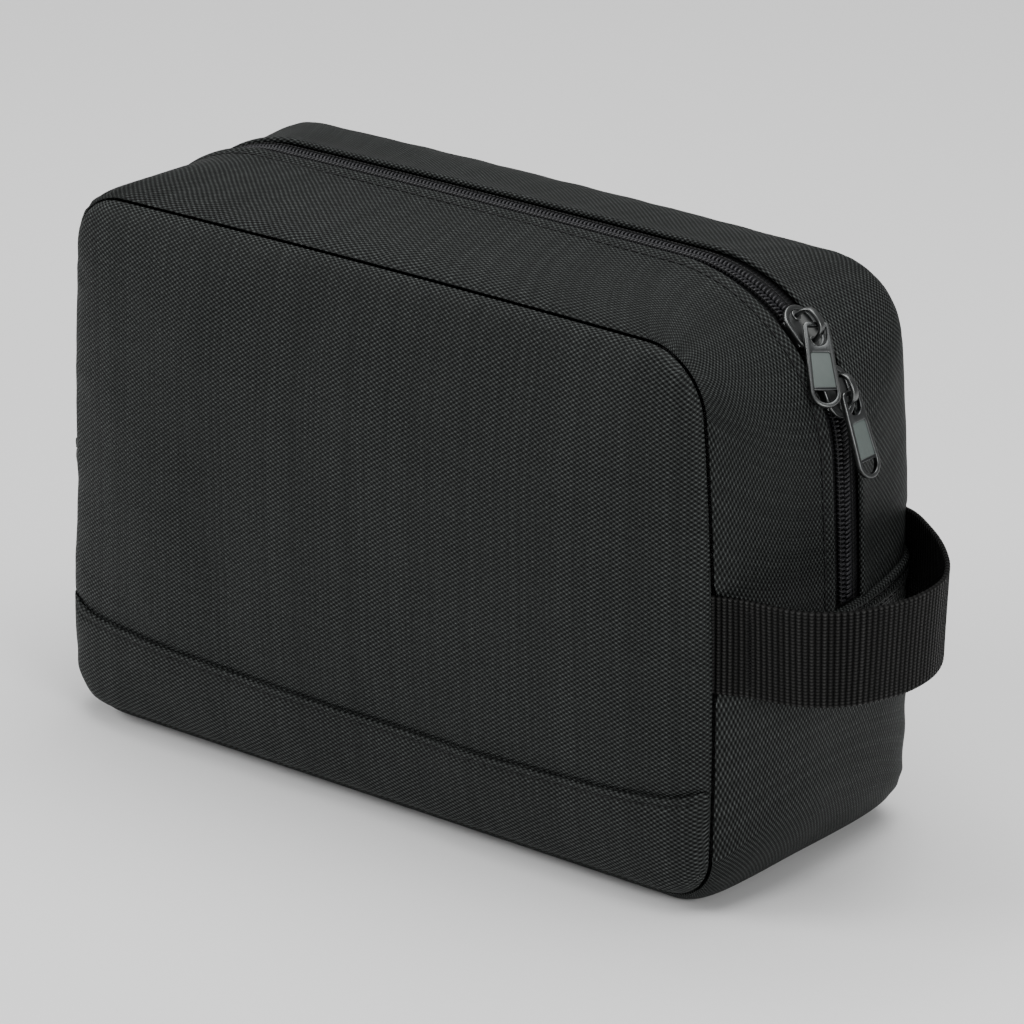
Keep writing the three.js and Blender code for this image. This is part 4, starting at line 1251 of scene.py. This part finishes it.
INNER_EDGE = SEAM_EDGE - LINING_BEHIND - 3.2
lining_base = inner_lining("lining_base_cloth", -END_STATION + 0.01, END_STATION - 0.01,
                           -INNER_EDGE, INNER_EDGE, 4.0)
add(lining_base, "lining", "shell", ("lining_base",))
OVER_THE_TOP = (UNDER_STATION, FULL_TURN - UNDER_STATION)
front_lining_strip = inner_lining("lining_strip_front_cloth", *OVER_THE_TOP, -INNER_EDGE, ZIP_Y - 10, 3.6)
add(front_lining_strip, "lining", replaces=("lining_strip_front",), blend=FOLD)
rear_lining_strip = inner_lining("lining_strip_rear_cloth", *OVER_THE_TOP, ZIP_Y + 10, INNER_EDGE, 3.6)
add(rear_lining_strip, "lining", "shell", ("lining_strip_rear",))


def base_board():
    """A stiff board under the lining, its corners rounded and its edge slightly raised."""
    a, b = np.meshgrid(np.linspace(-1, 1, 60), np.linspace(-1, 1, 30)[::-1], indexing="ij")
    corner = 1 - 0.035 * clamp(np.abs(b) * 3 - 2)**2
    x = a * 112 * np.where(np.abs(a) > 0.9, corner, 1)
    y = b * INNER_EDGE
    base = np.linspace(0, 1.6, 400)
    s = np.interp(np.abs(x), gusset(base, 0.0)[:, 0], base)
    outer = np.stack([x, y, gusset(s, y, 1.7)[..., 2]], -1)
    return cloth_grid("base_board_sheet", outer, outer[..., :2], -1.4, "board")


add(base_board(), "board", "shell", ("base_board",))


def binding(name, side):
    """Cloth tape folded over the raw seam edges inside."""
    rim = seam_rim()[::4]
    near = side * (SEAM_DEPTH / 2 - 4.6)
    section = np.array([(2.8, 0), (2.4, 0.5), (2.4, 1.3), (2.8, 1.8), (6, 2.0), (9.2, 1.8), (9.6, 1.3),
                        (9.6, 0.5), (9.2, 0), (6, -0.1)])
    wobble = 0.15 * ripple(np.arange(len(rim)) * 2.8, 0.0, 16, 90)
    inward = section[:, 0] + wobble[:, None]
    x = rim[:, None, 0] - rim[:, None, 2] * inward
    z = rim[:, None, 1] - rim[:, None, 3] * inward
    y = near - side * section[:, 1] + 0 * x
    rows, columns = x.shape
    uv = np.stack(np.meshgrid(np.arange(rows) * 2.75, np.arange(columns) * 1.2, indexing="ij"), -1)
    return solid(name, np.stack([x, y, z], -1), grid_faces(rows, columns, True, True),
                 "binding", uv)


for name, side in ZIP_SIDES:
    add_split(binding(f"seam_binding_{name}_tape", side), "binding", "seam_binding_" + name, side)


# ------------------------------------------------------------------ sliders and pulls
def zip_frame(degrees):
    """A place on the zip's line, with the ways along the zip and out of the bag."""
    station = shoulder_station(degrees)
    along = unit(gusset(station + 0.02, ZIP_Y) - gusset(station - 0.02, ZIP_Y))
    return gusset(station, ZIP_Y), along, np.array([along[2], 0, -along[0]])


def oval(length, width, steps=14):
    flat = (length - width) / 2
    turn = np.linspace(-math.pi / 2, math.pi / 2, steps)
    right = np.stack([flat + width / 2 * np.cos(turn), width / 2 * np.sin(turn)], -1)
    return np.concatenate([right, -right])


def bar_outline(low_x, high_x, low_y, high_y, radius, steps=4):
    section = rounded_section(high_x - low_x, high_y - low_y, radius, steps)
    return np.array(section) + [(low_x + high_x) / 2, (low_y + high_y) / 2]


SLIDER_LENGTH = 17.0
SLIDER_WIDTH = 12.6
BAIL_HALF = 4.75
BAIL_FOOT = 1.4
BAIL_RISE = 7.0


def slider_parts():
    """Parts of a slider whose zip runs along x and whose outside is up."""
    outline = oval(SLIDER_LENGTH, SLIDER_WIDTH)
    inner = oval(SLIDER_LENGTH - 3.4, SLIDER_WIDTH - 3.4)[::-1]
    top = flat_plate(oval(SLIDER_LENGTH - 0.6, SLIDER_WIDTH - 0.6), [], 0.8, 1.75, 0.2)
    rim = flat_plate(outline, [inner], 0.75, 2.4, 0.4)
    under = flat_plate(outline, [], -5.0, -3.8, 0.35)
    flanges = [flat_plate(bar_outline(-4.6, 4.6, low, low + 1.2, 0.5), [], -1.6, 1.2, 0.2)
               for low in (-6.2, 5.0)]
    post = flat_plate(bar_outline(4.7, 7.9, -1.1, 1.1, 0.9), [], -4.0, 1.0, 0.1)
    turn = np.linspace(0, math.pi, 34)
    bail_x = BAIL_HALF * np.sign(np.cos(turn)) * np.abs(np.cos(turn))**0.7
    path = np.stack([bail_x, 0 * turn, BAIL_FOOT + BAIL_RISE * np.sin(turn)**0.6], -1)
    bail = sweep(path, rounded_section(2.4, 1.3, 0.5), (0, 1, 0))
    foot, foot_faces = flat_plate(oval(3.6, 3.2, 8), [], 1.6, 2.3, 0.25)
    feet = [(foot + [x, 0, 0], foot_faces) for x in (-4.9, 4.9)]
    return [top, rim, under, *flanges, post, bail, *feet]


PULL_END_RADIUS = 5.0
PULL_START = -0.8
PULL_LENGTH = 28.0
PULL_END = PULL_LENGTH + PULL_START - PULL_END_RADIUS


def tapered_outline(first, first_half, last_half, rounding):
    """A pull's outline, from its square end to its round one."""
    turn = np.linspace(-math.pi / 2, math.pi / 2, 22)
    end = np.stack([PULL_END + last_half * np.cos(turn), last_half * np.sin(turn)], -1)
    corner = np.linspace(0, math.pi / 2, 6)
    high = np.stack([first + rounding - rounding * np.sin(corner),
                     first_half - rounding + rounding * np.cos(corner)], -1)
    return np.concatenate([end, high, (high * [1, -1])[::-1]])


def fork_outline():
    turn = np.linspace(-math.pi / 2, math.pi / 2, 10)
    end = np.stack([4.4 + 2.8 * np.cos(turn), 2.9 * np.sin(turn)], -1)
    return np.concatenate([end, [[1.3, 2.9], [0.8, 2.4], [0.8, -2.4], [1.3, -2.9]]])


def pull_parts():
    """The pull's frame: a plate with a fork for the bail and a window, and a bridge across it."""
    outline = tapered_outline(PULL_START, 4.3, PULL_END_RADIUS, 1.7)
    window = tapered_outline(9.3, 3.15, 3.65, 0.8)
    plate = flat_plate(outline, [fork_outline()[::-1], window[::-1]], -0.9, 0.9, 0.38)
    bridge = flat_plate(bar_outline(20.6, 21.6, -3.9, 3.9, 0.2), [], -0.7, 0.72, 0.25)
    return [plate, bridge]


def inlay_parts():
    plate = np.array([[9.0, -3.25], [20.9, -3.75], [20.9, 3.75], [9.0, 3.25]])
    return [flat_plate(plate, [], -0.55, 0.5, 0.08)]


PIVOT_BACK = 1.4
PIVOT_ABOVE = 6.0


def place_slider(name, zip_place, towards, pull_aim, pull_face):
    """A slider and its pull; the ways are shares of along the zip, across it and out of the bag."""
    at, along, out = zip_place
    ahead = along * towards
    pivot = at - along * PIVOT_BACK + out * PIVOT_ABOVE
    ways = np.array([along, (0, 1, 0), out])
    aim = unit(np.array(pull_aim) @ ways)
    face = np.array(pull_face) @ ways
    face = unit(face - aim * np.dot(face, aim))
    slider_axes = (at, ahead, np.cross(out, ahead), out)
    pull_axes = (pivot, aim, np.cross(face, aim), face)
    body, pull = f"slider_{name}", f"pull_{name}"
    for piece_name, kind, parts, axes, rides, node in (
            (body + "_body", "metal", slider_parts(), slider_axes, body, body),
            (pull + "_frame", "metal", pull_parts(), pull_axes, pull, pull),
            (pull + "_panel", "inlay", inlay_parts(), pull_axes, pull, pull + "_inlay")):
        piece = join_meshes(piece_name, [placed(part, *axes) for part in parts], kind)
        piece.data.set_sharp_from_angle(angle=math.radians(35))
        add(piece, kind, rides, (node,))


place_slider("upper", zip_frame(UPPER_SLIDER_ANGLE), -1, (-0.88, -0.42, -0.2), (0, -0.33, 1))
place_slider("lower", zip_frame(LOWER_SLIDER_ANGLE), 1, (-1, 0, -0.09), (0, 0, 1))

# ------------------------------------------------------------------ carrying loop
# The loop's middle line from above: distances out from the side seam and across the bag.
LOOP_PLAN = [(-1.5, -48.4), (1.5, -47.4), (9, -45.2), (20, -43), (31, -39.2), (40.5, -30), (45.8, -14),
             (46, 0), (41.8, 12.5), (30.8, 26), (16.5, 38.4), (7.6, 44.4), (1.5, 47.6), (-1.5, 48.6)]
LOOP_FLARE = 0.07
REAR_TWIST = 0.08
REAR_LIFT = 1.6
SEAM_X = float(half_outline(station_at_height(WEBBING_CENTRE_HEIGHT, -SEAM_DEPTH / 2), 0.0)[0])


def smooth_curve(points, steps=40):
    """A centripetal curve through the points."""
    p = np.asarray(points, float)
    p = np.concatenate([[2 * p[0] - p[1]], p, [2 * p[-1] - p[-2]]])
    result = []
    for i in range(1, len(p) - 2):
        p0, p1, p2, p3 = p[i - 1:i + 3]
        d0, d1, d2 = (np.linalg.norm(b - a)**0.5 for a, b in ((p0, p1), (p1, p2), (p2, p3)))
        m1 = ((p1 - p0) / d0 - (p2 - p0) / (d0 + d1) + (p2 - p1) / d1) * d1
        m2 = ((p2 - p1) / d1 - (p3 - p1) / (d1 + d2) + (p3 - p2) / d2) * d1
        t = np.linspace(0, 1, steps, endpoint=False)[:, None]
        result.append((2 * t**3 - 3 * t**2 + 1) * p1 + (t**3 - 2 * t**2 + t) * m1
                      + (3 * t**2 - 2 * t**3) * p2 + (t**3 - t**2) * m2)
    return np.concatenate(result + [p[-2:-1]])


def loop_frame(spacing):
    """Evenly spaced points along the webbing's middle, with its outward way and length."""
    line = smooth_curve(LOOP_PLAN)
    length = run_length(line)
    even = np.linspace(0, length[-1], int(length[-1] / spacing))
    middle = along_line(even, length, line)
    tangent = unit(np.gradient(middle, axis=0))
    return middle, tangent[:, ::-1] * [1, -1], even


def on_webbing(middle, outward_way, height, depth):
    """Points on the webbing at a height from its middle and a depth out from its centre sheet."""
    from_seam, across = middle[..., :1], middle[..., 1:]
    flare = LOOP_FLARE * height * clamp((from_seam - 2) / 30)
    rear = clamp(across / 10) * clamp(from_seam / 14) * clamp((46 - from_seam) / 20)
    flat = middle + outward_way * (flare - REAR_TWIST * rear * height + depth)
    z = WEBBING_CENTRE_HEIGHT + height + REAR_LIFT * rear
    return np.concatenate([flat + [SEAM_X, 0], z], -1)


def webbing_loop():
    middle, outward_way, length = loop_frame(0.32)
    rib = np.abs(np.sin(math.pi * length / WEBBING_RIB))
    half, half_thick = WEBBING_WIDTH / 2, WEBBING_THICKNESS / 2
    up = np.linspace(-half + 0.5, half - 0.5, 24)
    edge = np.array([0.45, -0.45])
    heights = np.concatenate([up, [half, half], -up, [-half, -half]])
    depths = np.concatenate([half_thick + 0 * up, edge, -half_thick + 0 * up, -edge])
    wobble = 0.25 * ripple(length, 0.0, 28, 101)[:, None]
    curl = 0.35 * ripple(length, 3.0, 40, 103)[:, None] * (heights / half)**2
    depth = depths * (0.86 + 0.16 * rib[:, None]) + curl
    height = heights + wobble
    points = on_webbing(middle[:, None], outward_way[:, None], height[..., None], depth[..., None])
    uv = np.stack(np.meshgrid(length, heights, indexing="ij"), -1)
    faces = tube_faces(len(length), len(heights))
    return solid("handle_webbing_loop", points, faces, "webbing", uv)


HANDLE_BLEND = ("shell", "handle", (0.1355, 0, 0.091), (0.1635, 0, 0.091))
add(webbing_loop(), "webbing", replaces=("handle_webbing", "handle_end_front", "handle_end_rear"),
    blend=HANDLE_BLEND)


TACK_FROM_FRONT = 13.2
TACK_FROM_REAR = 13.8
TACK_HALF_HEIGHT = 13.0
TACK_HALF_WIDTH = 0.9
TACK_STEP = 0.55


def tack_column(distance, from_rear):
    """A tight zigzag of thread across the webbing, near where it enters the seam."""
    middle, outward_way, length = loop_frame(0.5)
    zigzag = []
    for i, height in enumerate(np.arange(-TACK_HALF_HEIGHT, TACK_HALF_HEIGHT + 0.01, TACK_STEP)):
        at = distance + (TACK_HALF_WIDTH if i % 2 else -TACK_HALF_WIDTH)
        at = length[-1] - at if from_rear else at
        place, way = (along_line(at, length, line) for line in (middle, outward_way))
        zigzag.append(on_webbing(place, way, height, 0.86))
    return tube(np.array(zigzag), 0.24, 5)


add_threads("handle_tacks", [tack_column(TACK_FROM_FRONT, False), tack_column(TACK_FROM_REAR, True)],
            blend=HANDLE_BLEND)


# ------------------------------------------------------------------ floor and light
FLOOR_HALF = 8000
WORLD_STRENGTH = 0.36
# Name, place, target, size (all in metres) and power.
LIGHTS = (("overhead", (0.1, 0.2, 1.7), (0, 0, 0.1), (1.8, 1.4), 34),
          ("key", (-1.0, -0.85, 0.8), (-0.1, 0, 0.08), (0.7, 0.7), 12.5),
          ("side", (1.75, -0.75, 0.8), (0.1, 0, 0.1), (0.7, 0.7), 17))


def make_stage():
    corners = [(x * FLOOR_HALF, y * FLOOR_HALF, 0) for x, y in ((-1, -1), (1, -1), (1, 1), (-1, 1))]
    floor = bpy.data.objects.new("floor", mesh_from("floor", corners, [(0, 1, 2, 3)]))
    bpy.context.scene.collection.objects.link(floor)
    n = Nodes("floor", 0.75, specular=0.2)
    shade = n.spread(n.noise(n.place(), 3, 2), 0.97, 1.0)
    floor.data.materials.append(n.finish(n.tint((0.86, 0.86, 0.86), shade)))


def area_light(name, place, target, size, power):
    data = bpy.data.lights.new(name, "AREA")
    data.shape = "RECTANGLE"
    data.size, data.size_y = size
    data.energy = power
    light = bpy.data.objects.new(name, data)
    light.location = place
    light.rotation_euler = (Vector(target) - Vector(place)).to_track_quat("-Z", "Y").to_euler()
    bpy.context.scene.collection.objects.link(light)


make_stage()
for light in LIGHTS:
    area_light(*light)
world = bpy.data.worlds.new("studio")
world.use_nodes = True
background = world.node_tree.nodes["Background"]
background.inputs["Color"].default_value = (1, 1, 1, 1)
background.inputs["Strength"].default_value = WORLD_STRENGTH
bpy.context.scene.world = world
